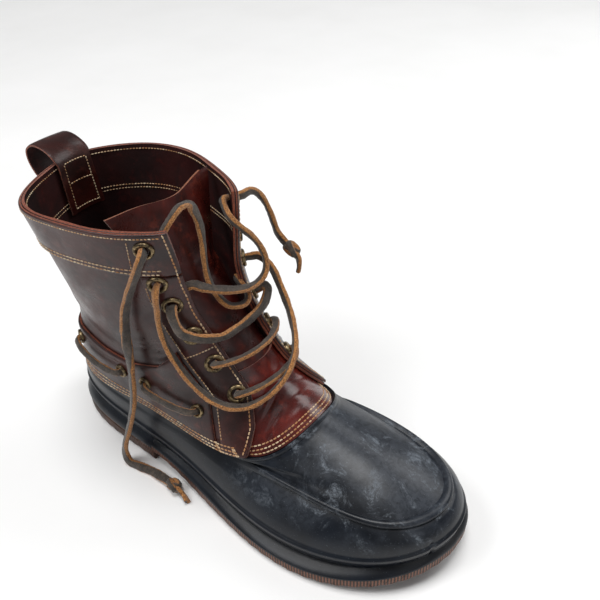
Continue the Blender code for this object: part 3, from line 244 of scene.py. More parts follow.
class LastSurface:
    """The upper's outer surface: a periodic cubic round each row, Catmull-Rom up the rows."""

    def __init__(self, sizes: Sizes) -> None:
        """Works the tables out in metres."""
        self.sizes = sizes
        tops = np.array([sizes.heel_height, 0.5 * (sizes.heel_height + sizes.forefoot_edge), sizes.forefoot_edge,
                         sizes.forefoot_edge + 0.52 * sizes.toe_spring, sizes.forefoot_edge + sizes.toe_spring])
        self.ends = np.array([ring.ends for ring in RINGS]) * sizes.length
        self.sides = np.array([self.side_values(ring.half, ring.middle) for ring in RINGS])
        rises = tops + sizes.upper_height * np.array([ring.rise for ring in RINGS])
        self.heights = np.concatenate([rises, rises[:, -2:0:-1]], axis=1)

    def side_values(self, half: Sequence[float], middle: Sequence[float]) -> Array:
        """Sideways offsets round the foot from half widths and middles: outer side, tip, inner side."""
        wide = np.array((0.0, *half, 0.0))
        centre = np.array((0.0, *middle))
        return self.sizes.half_ball * np.concatenate([centre - wide, (centre + wide)[-2:0:-1]])

    def round_weights(self, stations: Sequence[float], where: Array) -> Array:
        """Weights of a periodic cubic spline through the stations of both sides.

        Args:
            stations: places from heel to toe.
            where: places asked, of period 2.

        Returns:
            One row of weights for each place.
        """
        knots = np.array(list(stations) + [2 - s for s in stations[-2:0:-1]])
        count = len(knots)
        steps = np.diff(np.append(knots, knots[0] + 2.0))
        before, index = np.roll(steps, 1), np.arange(count)
        system, right = np.zeros((count, count)), np.zeros((count, count))
        system[index, index - 1] += before / 6
        system[index, index] += (before + steps) / 3
        system[index, (index + 1) % count] += steps / 6
        right[index, index - 1] += 1 / before
        right[index, index] -= 1 / before + 1 / steps
        right[index, (index + 1) % count] += 1 / steps
        bend = np.linalg.solve(system, right)
        where = np.mod(where, 2.0)
        cell = np.clip(np.searchsorted(knots, where, side="right") - 1, 0, count - 1)
        step = steps[cell]
        ahead = (where - knots[cell]) / step
        behind = 1 - ahead
        weights = ((behind ** 3 - behind) * step ** 2 / 6)[:, None] * bend[cell]
        weights += ((ahead ** 3 - ahead) * step ** 2 / 6)[:, None] * bend[(cell + 1) % count]
        line = np.arange(len(where))
        weights[line, cell] += behind
        weights[line, (cell + 1) % count] += ahead
        return weights

    def row_weights(self, climb: Array) -> Array:
        """Catmull-Rom weights of the rows, straight past the ends.

        Args:
            climb: places up the rows.

        Returns:
            One row of weights for each place.
        """
        last = len(RINGS) - 1
        cell = np.clip(np.floor(climb).astype(int), 0, last - 1)
        t = climb - cell
        inside = np.clip(t, 0, 1)
        weights = np.zeros((len(climb), last + 1))
        index = np.arange(len(climb))
        basis = (-0.5 * inside + inside ** 2 - 0.5 * inside ** 3,
                 1 - 2.5 * inside ** 2 + 1.5 * inside ** 3,
                 0.5 * inside + 2 * inside ** 2 - 1.5 * inside ** 3,
                 -0.5 * inside ** 2 + 0.5 * inside ** 3)
        for shift, value in zip((-1, 0, 1, 2), basis):
            target = cell + shift
            low, high = target < 0, target > last
            np.add.at(weights, (index, np.clip(target, 0, last)), value)
            for outside, near, far in ((low, 0, 1), (high, last, last - 1)):
                np.add.at(weights, (index[outside], near), value[outside])
                np.add.at(weights, (index[outside], far), -value[outside])
        over = t - inside
        slope_from = np.where(over < 0, 0, last - 1)
        np.add.at(weights, (index, slope_from + 1), over)
        np.add.at(weights, (index, slope_from), -over)
        return weights

    def point(self, turn: Array, climb: Array) -> Array:
        """Points of the surface: x by a cosine between a row's ends, y and z by the splines."""
        turn, climb = np.broadcast_arrays(np.asarray(turn, float), np.asarray(climb, float))
        shape = turn.shape
        turn, climb = turn.ravel(), climb.ravel()
        rows = self.row_weights(climb)
        back, front = (rows @ self.ends).T
        x = (back + front) / 2 - (front - back) / 2 * np.cos(math.pi * turn) - self.sizes.heel_rest
        y = ((rows @ self.sides) * self.round_weights(WIDTH_STATIONS, turn)).sum(axis=1)
        z = ((rows @ self.heights) * self.round_weights(HEIGHT_STATIONS, turn)).sum(axis=1)
        return np.stack([x, y, z], axis=1).reshape(shape + (3,))

    def tangents(self, turn: Array, climb: Array) -> tuple[Array, Array]:
        """Directions round and up the surface, by small differences."""
        step = 1e-3
        around = (self.point(turn + step, climb) - self.point(turn - step, climb)) / (2 * step)
        upward = (self.point(turn, climb + step) - self.point(turn, climb - step)) / (2 * step)
        return around, upward

    def normal(self, turn: Array, climb: Array) -> Array:
        """Unit normals that point out of the boot."""
        return unit(np.cross(*self.tangents(turn, climb)))

    def offset(self, turn: Array, climb: Array, distance: Array) -> Array:
        """Points at a distance from the surface, positive outwards."""
        turn, climb, distance = np.broadcast_arrays(turn, climb, distance)
        turn, climb = turn.astype(float), climb.astype(float)
        return self.point(turn, climb) + self.normal(turn, climb) * distance[..., None]

    def climb_by(self, turn: Array, row: str, distance: float) -> Array:
        """The climb that lies a distance along the surface above a row."""
        at = ROW[row] + 0.0 * np.asarray(turn, float)
        return at + distance / np.linalg.norm(self.tangents(turn, at)[1], axis=-1)

    def pace(self, turn: Array, climb: Array) -> Array:
        """Metres round the surface for one unit of turn."""
        return np.linalg.norm(self.tangents(turn, climb)[0], axis=-1)


class Fold(NamedTuple):
    """A soft trough (depth under 0) or ridge in leather, its sizes in metres, its lean in degrees."""

    turn: float
    climb: float
    length: float
    width: float
    depth: float
    lean: float


QUARTER_FOLDS = (
    Fold(0.615, 8.02, 0.011, 0.0011, -0.0006, 4), Fold(0.640, 7.90, 0.012, 0.0013, -0.0008, -3),
    Fold(0.655, 7.78, 0.010, 0.0012, -0.0008, 8), Fold(0.700, 7.96, 0.007, 0.0010, -0.0006, 12),
    Fold(0.640, 7.66, 0.013, 0.0040, 0.0011, 2), Fold(0.560, 7.90, 0.014, 0.0016, -0.0005, 10),
    Fold(0.540, 8.10, 0.016, 0.0030, -0.0006, 16), Fold(0.380, 7.82, 0.026, 0.0070, -0.0011, -4),
    Fold(0.300, 8.35, 0.028, 0.0110, 0.0010, -22), Fold(0.170, 8.10, 0.018, 0.0060, -0.0009, 14),
    Fold(0.470, 8.75, 0.030, 0.0120, -0.0006, 62), Fold(0.600, 8.75, 0.022, 0.0100, 0.0004, 74),
    Fold(0.250, 9.05, 0.024, 0.0100, -0.0008, 80), Fold(0.705, 8.78, 0.008, 0.0012, -0.0004, 40),
    Fold(0.725, 8.62, 0.007, 0.0011, -0.0004, 25), Fold(0.750, 8.45, 0.006, 0.0012, -0.0004, -20),
    Fold(0.620, 7.20, 0.018, 0.0060, -0.0007, 6), Fold(0.330, 7.25, 0.024, 0.0050, 0.0006, -2),
    Fold(1.385, 8.00, 0.012, 0.0012, -0.0007, -4), Fold(1.365, 7.86, 0.012, 0.0013, -0.0008, 5),
    Fold(1.350, 7.72, 0.010, 0.0012, -0.0007, -8), Fold(1.360, 7.62, 0.014, 0.0040, 0.0010, -3),
    Fold(1.460, 8.10, 0.016, 0.0026, -0.0006, -14), Fold(1.620, 7.84, 0.026, 0.0070, -0.0011, 5),
    Fold(1.700, 8.40, 0.028, 0.0110, 0.0010, 20), Fold(1.530, 8.80, 0.028, 0.0120, -0.0006, -64),
    Fold(1.820, 8.15, 0.018, 0.0060, -0.0009, -12), Fold(1.390, 8.80, 0.020, 0.0090, 0.0008, -72),
    Fold(1.380, 7.15, 0.016, 0.0060, -0.0006, -6), Fold(0.010, 8.05, 0.010, 0.0040, -0.0008, 0),
)
PLUG_FOLDS = (
    Fold(0.890, 6.42, 0.010, 0.0011, -0.0007, 24), Fold(0.905, 6.62, 0.009, 0.0011, -0.0007, 30),
    Fold(0.925, 6.80, 0.008, 0.0010, -0.0006, 34), Fold(1.060, 6.46, 0.011, 0.0012, -0.0007, -12),
    Fold(1.085, 6.66, 0.010, 0.0011, -0.0007, -22), Fold(1.050, 6.84, 0.009, 0.0010, -0.0005, -14),
    Fold(0.975, 6.30, 0.013, 0.0030, 0.0006, 6), Fold(0.985, 6.55, 0.012, 0.0030, 0.0006, -4),
    Fold(1.120, 6.36, 0.010, 0.0014, -0.0006, -30), Fold(0.850, 6.26, 0.010, 0.0014, -0.0006, 28),
)


class Hide:
    """Worn leather over the surface: the sum of bell-shaped folds, each long one way."""

    def __init__(self, surface: LastSurface, folds: Sequence[Fold]) -> None:
        """Keeps the surface and the folds."""
        self.surface = surface
        self.folds = folds

    def lift(self, turn: Array, climb: Array) -> Array:
        """Height that the folds add: depth times exp of minus the squared ways along and across."""
        total = np.zeros(np.broadcast(turn, climb).shape)
        for fold in self.folds:
            around, upward = self.surface.tangents(np.array([fold.turn]), np.array([fold.climb]))
            along = (np.mod(turn - fold.turn + 1, 2) - 1) * np.linalg.norm(around)
            up = (climb - fold.climb) * np.linalg.norm(upward)
            lean = math.radians(fold.lean)
            a = math.cos(lean) * along + math.sin(lean) * up
            b = math.cos(lean) * up - math.sin(lean) * along
            total += fold.depth * np.exp(-(a / fold.length) ** 2 - (b / fold.width) ** 2)
        return total

    def offset(self, turn: Array, climb: Array, height: Array) -> Array:
        """Points at a height over the folded leather's face."""
        return self.surface.offset(turn, climb, height + self.lift(turn, climb))

    def line(self, turn: Array, climb: Array, height: float) -> Line:
        """Points and normals along a line on the leather."""
        return self.offset(turn, climb, height), self.surface.normal(turn, climb)


def lattice(rows: int, columns: int, wrap: bool = False, start: int = 0) -> Array:
    """Quads of a grid laid out row by row; wrap closes it across."""
    r = np.arange(rows - 1)[:, None]
    c = np.arange(columns if wrap else columns - 1)[None, :]
    d = (c + 1) % columns
    quads = np.stack([r * columns + c, r * columns + d, (r + 1) * columns + d, (r + 1) * columns + c], axis=-1)
    return quads.reshape(-1, 4) + start


def make_piece(name: str, points: Array, quads: Array, materials: Sequence[bpy.types.Material],
               nodes: Sequence[str] = (), kinds: Array | None = None, caps: Sequence[Sequence[int]] = (),
               marks: dict[str, Array] | None = None, sharp: float = 42.0) -> bpy.types.Object:
    """Puts a closed mesh in the scene, turned outwards, on the boot's body.

    Args:
        name: the piece's name.
        points: its vertices.
        quads: its four-sided faces.
        materials: its finishes.
        nodes: CAD nodes that it stands for.
        kinds: the finish of each quad, by number.
        caps: closing faces of more corners.
        marks: named values of the vertices for the finishes.
        sharp: edges bent by more degrees than this are drawn sharp.

    Returns:
        The new object.
    """
    points = np.asarray(points, float).reshape(-1, 3)
    a, b, c, d = (points[quads[:, k]] for k in range(4))
    volume = np.einsum("ij,ij->", a, np.cross(b, c)) + np.einsum("ij,ij->", a, np.cross(c, d))
    faces = quads.tolist() + [list(cap) for cap in caps]
    if volume < 0:
        faces = [face[::-1] for face in faces]
    mesh = bpy.data.meshes.new(name)
    mesh.from_pydata(points.tolist(), [], faces)
    for material in materials:
        mesh.materials.append(material)
    if kinds is not None:
        mesh.polygons.foreach_set("material_index", np.concatenate([kinds, np.zeros(len(caps))]).astype(np.int32))
    for key, values in (marks or {}).items():
        mesh.attributes.new(key, "FLOAT", "POINT").data.foreach_set("value", np.asarray(values, np.float32).ravel())
    mesh.shade_smooth()
    mesh.set_sharp_from_angle(angle=math.radians(sharp))
    piece = bpy.data.objects.new(name, mesh)
    bpy.context.scene.collection.objects.link(piece)
    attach(piece, "root")
    if nodes:
        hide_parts(*nodes)
    log.info("%s: %d faces", name, len(faces))
    return piece


def two_sided(outer: Array, inner: Array) -> tuple[Array, Array, Array]:
    """A wall between two grids of points.

    Args:
        outer: the face's grid.
        inner: the back's grid.

    Returns:
        Its points, its quads, and each quad's kind: 0 face, 1 back, 2 edge.
    """
    rows, columns = outer.shape[:2]
    count = rows * columns
    face = lattice(rows, columns)
    index = np.arange(count).reshape(rows, columns)
    border = np.concatenate([index[0], index[1:, -1], index[-1, -2::-1], index[-2:0:-1, 0]])
    ahead = np.roll(border, -1)
    rim = np.stack([ahead, border, border + count, ahead + count], axis=1)
    quads = np.concatenate([face, face[:, ::-1] + count, rim])
    kinds = np.repeat([0, 1, 2], [len(face), len(face), len(rim)])
    return np.concatenate([outer.reshape(-1, 3), inner.reshape(-1, 3)]), quads, kinds


def bordered(length: float, edge: float, step: float) -> Array:
    """Shares along a length, close together near both ends and evenly apart between."""
    ends = np.array([0.0, 0.12, 0.35, 0.65, 1.0]) * edge
    middle = np.linspace(edge, length - edge, max(3, round(length / step)))[1:-1]
    return np.concatenate([ends, middle, length - ends[::-1]]) / length


def rounding(share: Array, length: float, edge: float) -> Array:
    """Height of a rounded border: a quarter circle over the edge's width from both ends."""
    way = np.clip(np.minimum(share, 1 - share) * length / edge, 0, 1)
    return 0.25 + 0.75 * np.sqrt(np.clip(1 - (1 - way) ** 2, 0, 1))


def ribbon_section(width: float, thickness: float, count: int = 16) -> Array:
    """A flat lace's section: a superellipse of power 3, from the middle of its grain side."""
    angle = np.linspace(0, 2 * math.pi, count, endpoint=False)
    power = 2.0 / 3.0
    x = np.sign(np.sin(angle)) * np.abs(np.sin(angle)) ** power * width / 2
    y = np.sign(np.cos(angle)) * np.abs(np.cos(angle)) ** power * thickness / 2
    return np.stack([x, y], axis=1)


def swept(path: Array, face: Array, section: Array, closed: bool = False) -> tuple[Array, Array]:
    """A section carried along a path.

    Args:
        path: its points.
        face: directions of the section's second axis, set square to the path here.
        section: offsets across and through, one line for each corner.
        closed: whether the path's end meets its start.

    Returns:
        Points, and quads without the caps.
    """
    along = np.roll(path, -1, axis=0) - np.roll(path, 1, axis=0) if closed else np.gradient(path, axis=0)
    along = unit(along)
    through = unit(face - (face * along).sum(axis=1, keepdims=True) * along)
    across = np.cross(along, through)
    grid = path[:, None] + section[..., 0, None] * across[:, None] + section[..., 1, None] * through[:, None]
    rows, count = grid.shape[:2]
    quads = lattice(rows, count, wrap=True)
    if closed:
        last = (rows - 1) * count + np.arange(count)
        first = np.arange(count)
        quads = np.concatenate([quads, np.stack([last, np.roll(last, -1), np.roll(first, -1), first], axis=1)])
    return grid.reshape(-1, 3), quads


def caps_of(rows: int, count: int) -> list[list[int]]:
    """The two end faces of a swept section."""
    last = (rows - 1) * count
    return [list(range(count))[::-1], list(range(last, last + count))]


class Stitcher:
    """Sewn rows as short rounded threads: each is four diamond sections along its line."""

    def __init__(self, pitch: float, length: float, width: float, height: float) -> None:
        """Keeps the thread's sizes in metres."""
        self.pitch = pitch
        self.length = length
        self.width = width
        self.height = height
        self.rows: list[Line] = []
        self.random = np.random.default_rng(7)

    def add(self, line: Line) -> None:
        """Adds a row along a line of points and normals."""
        self.rows.append(line)

    def placed(self, line: Line) -> Array:
        """One row's threads: centres a pitch apart, each a template turned along the line.

        Args:
            line: points and normals.

        Returns:
            Points, sixteen for each thread.
        """
        points, normals = line
        way = np.concatenate([[0], np.cumsum(np.linalg.norm(np.diff(points, axis=0), axis=1))])
        marks = np.arange(self.pitch / 2, way[-1] - self.pitch / 3, self.pitch)
        read = [np.stack([np.interp(marks + shift, way, values[:, axis]) for axis in range(3)], axis=1)
                for values, shift in ((points, 0.0), (normals, 0.0), (points, 3e-4), (points, -3e-4))]
        centre, out = read[0], unit(read[1])
        along = unit(read[2] - read[3])
        slant = self.random.normal(0.0, 0.07, (len(marks), 1))
        across = np.cross(out, along)
        along, across = along + slant * across, across - slant * along
        x = np.repeat([-0.5, -0.30, 0.30, 0.5], 4) * self.length
        swell = np.repeat([0.45, 1.0, 1.0, 0.45], 4)
        y = np.tile([1.0, 0.0, -1.0, 0.0], 4) * swell * self.width / 2
        z = np.tile([0.0, 1.0, 0.0, -1.0], 4) * swell * self.height + 0.1 * self.height
        grow = self.random.uniform(0.88, 1.08, (len(marks), 1))
        parts = [values[None, :, None] * axis[:, None, :] for values, axis in ((x, along), (y, across), (z, out))]
        return centre[:, None, :] + (parts[0] * grow[..., None]) + parts[1] + parts[2]

    def build(self, name: str, material: bpy.types.Material) -> bpy.types.Object:
        """Makes one piece of all rows.

        Args:
            name: the piece's name.
            material: the thread's finish.

        Returns:
            The new object.
        """
        threads = np.concatenate([self.placed(line) for line in self.rows])
        count = len(threads)
        around = lattice(4, 4, wrap=True)
        ends = np.array([[3, 2, 1, 0], [12, 13, 14, 15]])
        template = np.concatenate([around, ends])
        quads = (template[None] + 16 * np.arange(count)[:, None, None]).reshape(-1, 4)
        tone = np.repeat(self.random.uniform(0, 1, count), 16)
        return make_piece(name, threads, quads, [material], marks={"tone": tone}, sharp=80)


def linear(text: str) -> tuple[float, float, float, float]:
    """A colour written in six hexadecimal digits, as linear light."""
    values = [int(text[k:k + 2], 16) / 255 for k in (0, 2, 4)]
    return (*(v / 12.92 if v <= 0.04045 else ((v + 0.055) / 1.055) ** 2.4 for v in values), 1.0)


class Graph:
    """A material's nodes, with short calls for the kinds that the finishes use."""

    def __init__(self, name: str) -> None:
        """Starts a material with its Principled shader."""
        self.material = bpy.data.materials.new(name)
        self.material.use_nodes = True
        self.nodes = self.material.node_tree.nodes
        self.links = self.material.node_tree.links
        self.shader = self.nodes["Principled BSDF"]
        self.place = self.nodes.new("ShaderNodeTexCoord").outputs["Object"]

    def stretched(self, scale: tuple[float, float, float]) -> bpy.types.NodeSocket:
        """Object coordinates scaled along the axes."""
        node = self.nodes.new("ShaderNodeMapping")
        node.inputs["Scale"].default_value = scale
        self.links.new(self.place, node.inputs["Vector"])
        return node.outputs["Vector"]

    def noise(self, scale: float, detail: float = 4.0, rough: float = 0.55, distort: float = 0.0,
              where: bpy.types.NodeSocket | None = None) -> bpy.types.NodeSocket:
        """Fractal noise, about 0.5, with its size as one over the scale in metres."""
        node = self.nodes.new("ShaderNodeTexNoise")
        for key, value in (("Scale", scale), ("Detail", detail), ("Roughness", rough), ("Distortion", distort)):
            node.inputs[key].default_value = value
        self.links.new(where or self.place, node.inputs["Vector"])
        return node.outputs["Fac"]

    def cells(self, scale: float, where: bpy.types.NodeSocket | None = None) -> bpy.types.NodeSocket:
        """Distance to the edge of Voronoi cells."""
        node = self.nodes.new("ShaderNodeTexVoronoi")
        node.feature = "DISTANCE_TO_EDGE"
        node.inputs["Scale"].default_value = scale
        self.links.new(where or self.place, node.inputs["Vector"])
        return node.outputs["Distance"]

    def band(self, value: bpy.types.NodeSocket, low: float, high: float, to_low: float = 0.0,
             to_high: float = 1.0) -> bpy.types.NodeSocket:
        """A value mapped smoothly from one range to another."""
        node = self.nodes.new("ShaderNodeMapRange")
        node.interpolation_type = "SMOOTHSTEP"
        for key, number in zip(("From Min", "From Max", "To Min", "To Max"), (low, high, to_low, to_high)):
            node.inputs[key].default_value = number
        self.links.new(value, node.inputs["Value"])
        return node.outputs["Result"]

    def axis(self, which: str) -> bpy.types.NodeSocket:
        """One of the object coordinates."""
        node = self.nodes.new("ShaderNodeSeparateXYZ")
        self.links.new(self.place, node.inputs["Vector"])
        return node.outputs[which]

    def times(self, a: bpy.types.NodeSocket, b: bpy.types.NodeSocket | float,
              kind: str = "MULTIPLY") -> bpy.types.NodeSocket:
        """Two values put together."""
        node = self.nodes.new("ShaderNodeMath")
        node.operation = kind
        self.links.new(a, node.inputs[0])
        if isinstance(b, float):
            node.inputs[1].default_value = b
        else:
            self.links.new(b, node.inputs[1])
        return node.outputs[0]

    def mixed(self, share: bpy.types.NodeSocket, first: object, second: object) -> bpy.types.NodeSocket:
        """Two colours mixed by a share; each is a text of digits or a socket."""
        node = self.nodes.new("ShaderNodeMix")
        node.data_type = "RGBA"
        self.links.new(share, node.inputs["Factor"])
        for key, colour in (("A", first), ("B", second)):
            socket = next(s for s in node.inputs if s.name == key and s.type == "RGBA")
            if isinstance(colour, str):
                socket.default_value = linear(colour)
            else:
                self.links.new(colour, socket)
        return next(s for s in node.outputs if s.type == "RGBA")

    def attribute(self, name: str) -> bpy.types.NodeSocket:
        """A named value of the vertices."""
        node = self.nodes.new("ShaderNodeAttribute")
        node.attribute_name = name
        return node.outputs["Fac"]

    def bump(self, height: bpy.types.NodeSocket, strength: float, depth: float,
             under: bpy.types.NodeSocket | None = None) -> bpy.types.NodeSocket:
        """Relief from a height in metres of depth, over another relief."""
        node = self.nodes.new("ShaderNodeBump")
        node.inputs["Strength"].default_value = strength
        node.inputs["Distance"].default_value = depth
        self.links.new(height, node.inputs["Height"])
        if under:
            self.links.new(under, node.inputs["Normal"])
        return node.outputs["Normal"]

    def feed(self, **sockets: bpy.types.NodeSocket) -> None:
        """Links sockets to the shader's inputs; an underscore stands for a space."""
        for key, socket in sockets.items():
            self.links.new(socket, self.shader.inputs[key.replace("_", " ")])

    def fix(self, **values: float) -> None:
        """Sets the shader's own sockets; an underscore stands for a space."""
        for key, value in values.items():
            self.shader.inputs[key.replace("_", " ")].default_value = value


class Tone(Enum):
    """Kinds of leather on the boot: dark, plain and light colour."""

    QUARTER = ("1d0907", "3a120e", "5e2a22")
    TRIM = ("1f0a08", "3c140f", "612c22")
    VAMP = ("330b08", "5f170f", "8b3020")
    LINING = ("1e0505", "350b09", "501510")
    TONGUE = ("240907", "4a1610", "743020")


@dataclass(frozen=True)
class WaxedLeather:
    """Oiled smooth leather: mottled oxblood, grey waxy bloom with painted sheen on the upper part, fine pores,
    crinkles and scratches.
    """

    name: str
    tone: Tone
    rough: float = 0.34
    coat: float = 0.14
    bloom_and_sheen: float = 0.42
    wavy: float = 0.35
    patchy: float = 1.0

    def build(self) -> bpy.types.Material:
        """Makes the material."""
        g = Graph(self.name)
        dark, plain, light = self.tone.value
        wide = g.noise(26, 5, 0.6, 0.6)
        colour = g.mixed(g.band(wide, 0.36, 0.66), dark, plain)
        mottle = g.noise(150, 4, 0.6, 0.3)
        colour = g.mixed(g.band(mottle, 0.52, 0.74, 0.0, 0.45), colour, light)
        # Greyer towards the top: partly the wax's own bloom, partly painted sheen of light on the upper leather.
        bloom_and_sheen = g.times(g.band(g.noise(17, 3, 0.5, 0.8), 0.42, 0.68), g.band(g.axis("Z"), 0.06, 0.13))
        colour = g.mixed(g.times(bloom_and_sheen, self.bloom_and_sheen), colour, "4d3a36")
        scratch = g.noise(90, 6, 0.75, 1.2, g.stretched((1.0, 1.0, 5.0)))
        colour = g.mixed(g.band(scratch, 0.66, 0.74, 0.0, 0.35), colour, light)
        pores = g.cells(1500)
        crinkle = g.noise(420, 5, 0.65, 0.9)
        waves = g.noise(75, 3, 0.5, 0.5)
        relief = g.bump(g.band(pores, 0.0, 0.25), 0.10, 0.0002)
        relief = g.bump(crinkle, 0.30, 0.0003, relief)
        relief = g.bump(waves, self.wavy, 0.0009, relief)
        g.feed(Base_Color=colour, Normal=relief,
               Roughness=g.band(g.noise(60, 5, 0.6), 0.3, 0.7, self.rough - 0.08 * self.patchy,
                                self.rough + 0.14 * self.patchy))
        g.fix(Specular_IOR_Level=0.36, Coat_Weight=self.coat, Coat_Roughness=0.20)
        return g.material


@dataclass(frozen=True)
class RawEdge:
    """Cut or suede side of leather: fibrous, matt, orange brown."""

    name: str
    dark: str
    light: str

    def build(self) -> bpy.types.Material:
        """Makes the material."""
        g = Graph(self.name)
        fibre = g.noise(900, 5, 0.7, 0.4)
        colour = g.mixed(g.band(fibre, 0.35, 0.65), self.dark, self.light)
        g.feed(Base_Color=colour, Normal=g.bump(fibre, 0.7, 0.0005))
        g.fix(Roughness=0.88, Sheen_Weight=0.25, Sheen_Roughness=0.5)
        return g.material


@dataclass(frozen=True)
class MouldedRubber:
    """Navy rubber with specks, faint pale streaks, and pale scuffs and dust on the toe."""

    name: str = "navy_rubber_worn"

    def build(self) -> bpy.types.Material:
        """Makes the material."""
        g = Graph(self.name)
        cloud = g.noise(30, 5, 0.6, 0.4)
        colour = g.mixed(g.band(cloud, 0.35, 0.7), "0a0e15", "131922")
        toe = g.times(g.band(g.axis("X"), 0.10, 0.19), g.band(g.axis("Z"), 0.030, 0.048))
        dust = g.times(g.band(g.noise(19, 4, 0.6, 0.6), 0.40, 0.62), toe)
        fine = g.band(g.noise(260, 7, 0.8, 0.8), 0.34, 0.60, 0.25, 1.0)
        colour = g.mixed(g.times(g.times(dust, fine), 0.55), colour, "4c5159")
        patches = g.band(g.noise(48, 7, 0.72, 1.0), 0.52, 0.66)
        rubbed = g.band(g.noise(520, 5, 0.8, 0.2), 0.36, 0.62)
        scuff = g.times(g.times(patches, rubbed), toe)
        colour = g.mixed(g.times(scuff, 0.62), colour, "8b949e")
        streak = g.noise(130, 5, 0.8, 0.5, g.stretched((0.6, 1.4, 1.0)))
        side = g.band(streak, 0.62, 0.74, 0.0, 0.20)
        colour = g.mixed(side, colour, "454e5b")
        specks = g.band(g.noise(1500, 2, 0.5), 0.69, 0.77, 0.0, 0.35)
        colour = g.mixed(specks, colour, "9aa2ab")
        relief = g.bump(g.noise(1100, 3, 0.6), 0.12, 0.0002)
        relief = g.bump(g.noise(60, 3, 0.5), 0.25, 0.0008, relief)
        rough = g.band(g.times(scuff, side, "ADD"), 0.0, 0.9, 0.34, 0.68)
        g.feed(Base_Color=colour, Normal=relief, Roughness=rough)
        g.fix(Specular_IOR_Level=0.30, Coat_Weight=0.06, Coat_Roughness=0.3)
        return g.material


@dataclass(frozen=True)
class GumRubber:
    """Gum brown, darker with dirt, ribbed where the vertices' value ribbed is 1 by their value way, with painted shade
    in the rib grooves and painted highlight on the rib crests.
    """

    name: str = "gum_rubber_worn"
    rib_pitch: float = 0.0020

    def build(self) -> bpy.types.Material:
        """Makes the material."""
        g = Graph(self.name)
        colour = g.mixed(g.band(g.noise(40, 5, 0.65, 0.5), 0.3, 0.7), "38251c", "54392c")
        wave = g.times(g.times(g.attribute("way"), 2 * math.pi / self.rib_pitch), 0.0, "SINE")
        rib = g.times(g.band(wave, -0.7, 0.5), g.attribute("ribbed"))
        # Painted shade and highlight of the ribs: dark in the grooves between them, pale on their crests.
        colour = g.mixed(g.times(g.attribute("ribbed"), 0.75), colour, g.mixed(rib, "20140e", "8a5a44"))
        dirt = g.band(g.noise(190, 5, 0.75, 0.5), 0.50, 0.72, 0.0, 0.7)
        colour = g.mixed(dirt, colour, "231812")
        relief = g.bump(rib, 0.8, 0.0006, g.bump(g.noise(700, 4, 0.6), 0.3, 0.0003))
        g.feed(Base_Color=colour, Normal=relief, Roughness=g.band(dirt, 0.0, 0.7, 0.52, 0.75))
        g.fix(Specular_IOR_Level=0.35)
        return g.material


@dataclass(frozen=True)
class AgedBrass:
    """Dull brass in darker and lighter worn patches."""

    name: str = "antique_brass_worn"

    def build(self) -> bpy.types.Material:
        """Makes the material."""
        g = Graph(self.name)
        wear = g.noise(420, 4, 0.7, 0.3)
        colour = g.mixed(g.band(wear, 0.38, 0.62), "443a2e", "93805f")
        g.feed(Base_Color=colour, Roughness=g.band(wear, 0.3, 0.7, 0.5, 0.28),
               Normal=g.bump(wear, 0.2, 0.0002))
        g.fix(Metallic=0.92)
        return g.material


@dataclass(frozen=True)
class LaceLeather:
    """Leather lace: dark waxed grain on one side, orange fuzzy suede on the others."""

    name: str = "lace_leather_worn"

    def build(self) -> bpy.types.Material:
        """Makes the material; the vertices' value grain is 1 on the grain side."""
        g = Graph(self.name)
        fibre = g.noise(1300, 5, 0.75, 0.3)
        suede = g.mixed(g.band(fibre, 0.36, 0.64), "5e3416", "c98d50")
        rub = g.noise(260, 5, 0.7, 0.5)
        grain = g.mixed(g.band(rub, 0.38, 0.70), "2a2119", "55473a")
        edge = g.times(g.attribute("grain"), g.band(rub, 0.2, 0.8, -0.28, 0.28), "ADD")
        share = g.band(edge, 0.38, 0.62)
        colour = g.mixed(share, suede, grain)
        g.feed(Base_Color=colour, Normal=g.bump(fibre, 0.9, 0.0006),
               Roughness=g.band(share, 0.0, 1.0, 0.92, 0.52))
        g.fix(Sheen_Weight=0.2, Sheen_Roughness=0.5)
        return g.material


@dataclass(frozen=True)
class SewingThread:
    """Waxed thread, cream to tan by the vertices' value tone."""

    name: str = "sewing_thread"

    def build(self) -> bpy.types.Material:
        """Makes the material."""
        g = Graph(self.name)
        dirt = g.times(g.noise(50, 4, 0.6), g.times(g.attribute("tone"), 0.4), "ADD")
        colour = g.mixed(g.band(dirt, 0.42, 0.95), "dcc6a4", "ad7848")
        twist = g.noise(2600, 2, 0.5)
        g.feed(Base_Color=colour, Normal=g.bump(twist, 0.5, 0.0002))
        g.fix(Roughness=0.7, Sheen_Weight=0.15)
        return g.material


@dataclass(frozen=True)
class Felt:
    """Matt woven or felted lining, also used as the painted shadow inside the eyelets' bores."""

    name: str
    dark: str
    light: str

    def build(self) -> bpy.types.Material:
        """Makes the material."""
        g = Graph(self.name)
        fibre = g.noise(1100, 4, 0.7, 0.2)
        colour = g.mixed(g.band(fibre, 0.35, 0.65), self.dark, self.light)
        g.feed(Base_Color=colour, Normal=g.bump(fibre, 0.5, 0.0005))
        g.fix(Roughness=0.93)
        return g.material


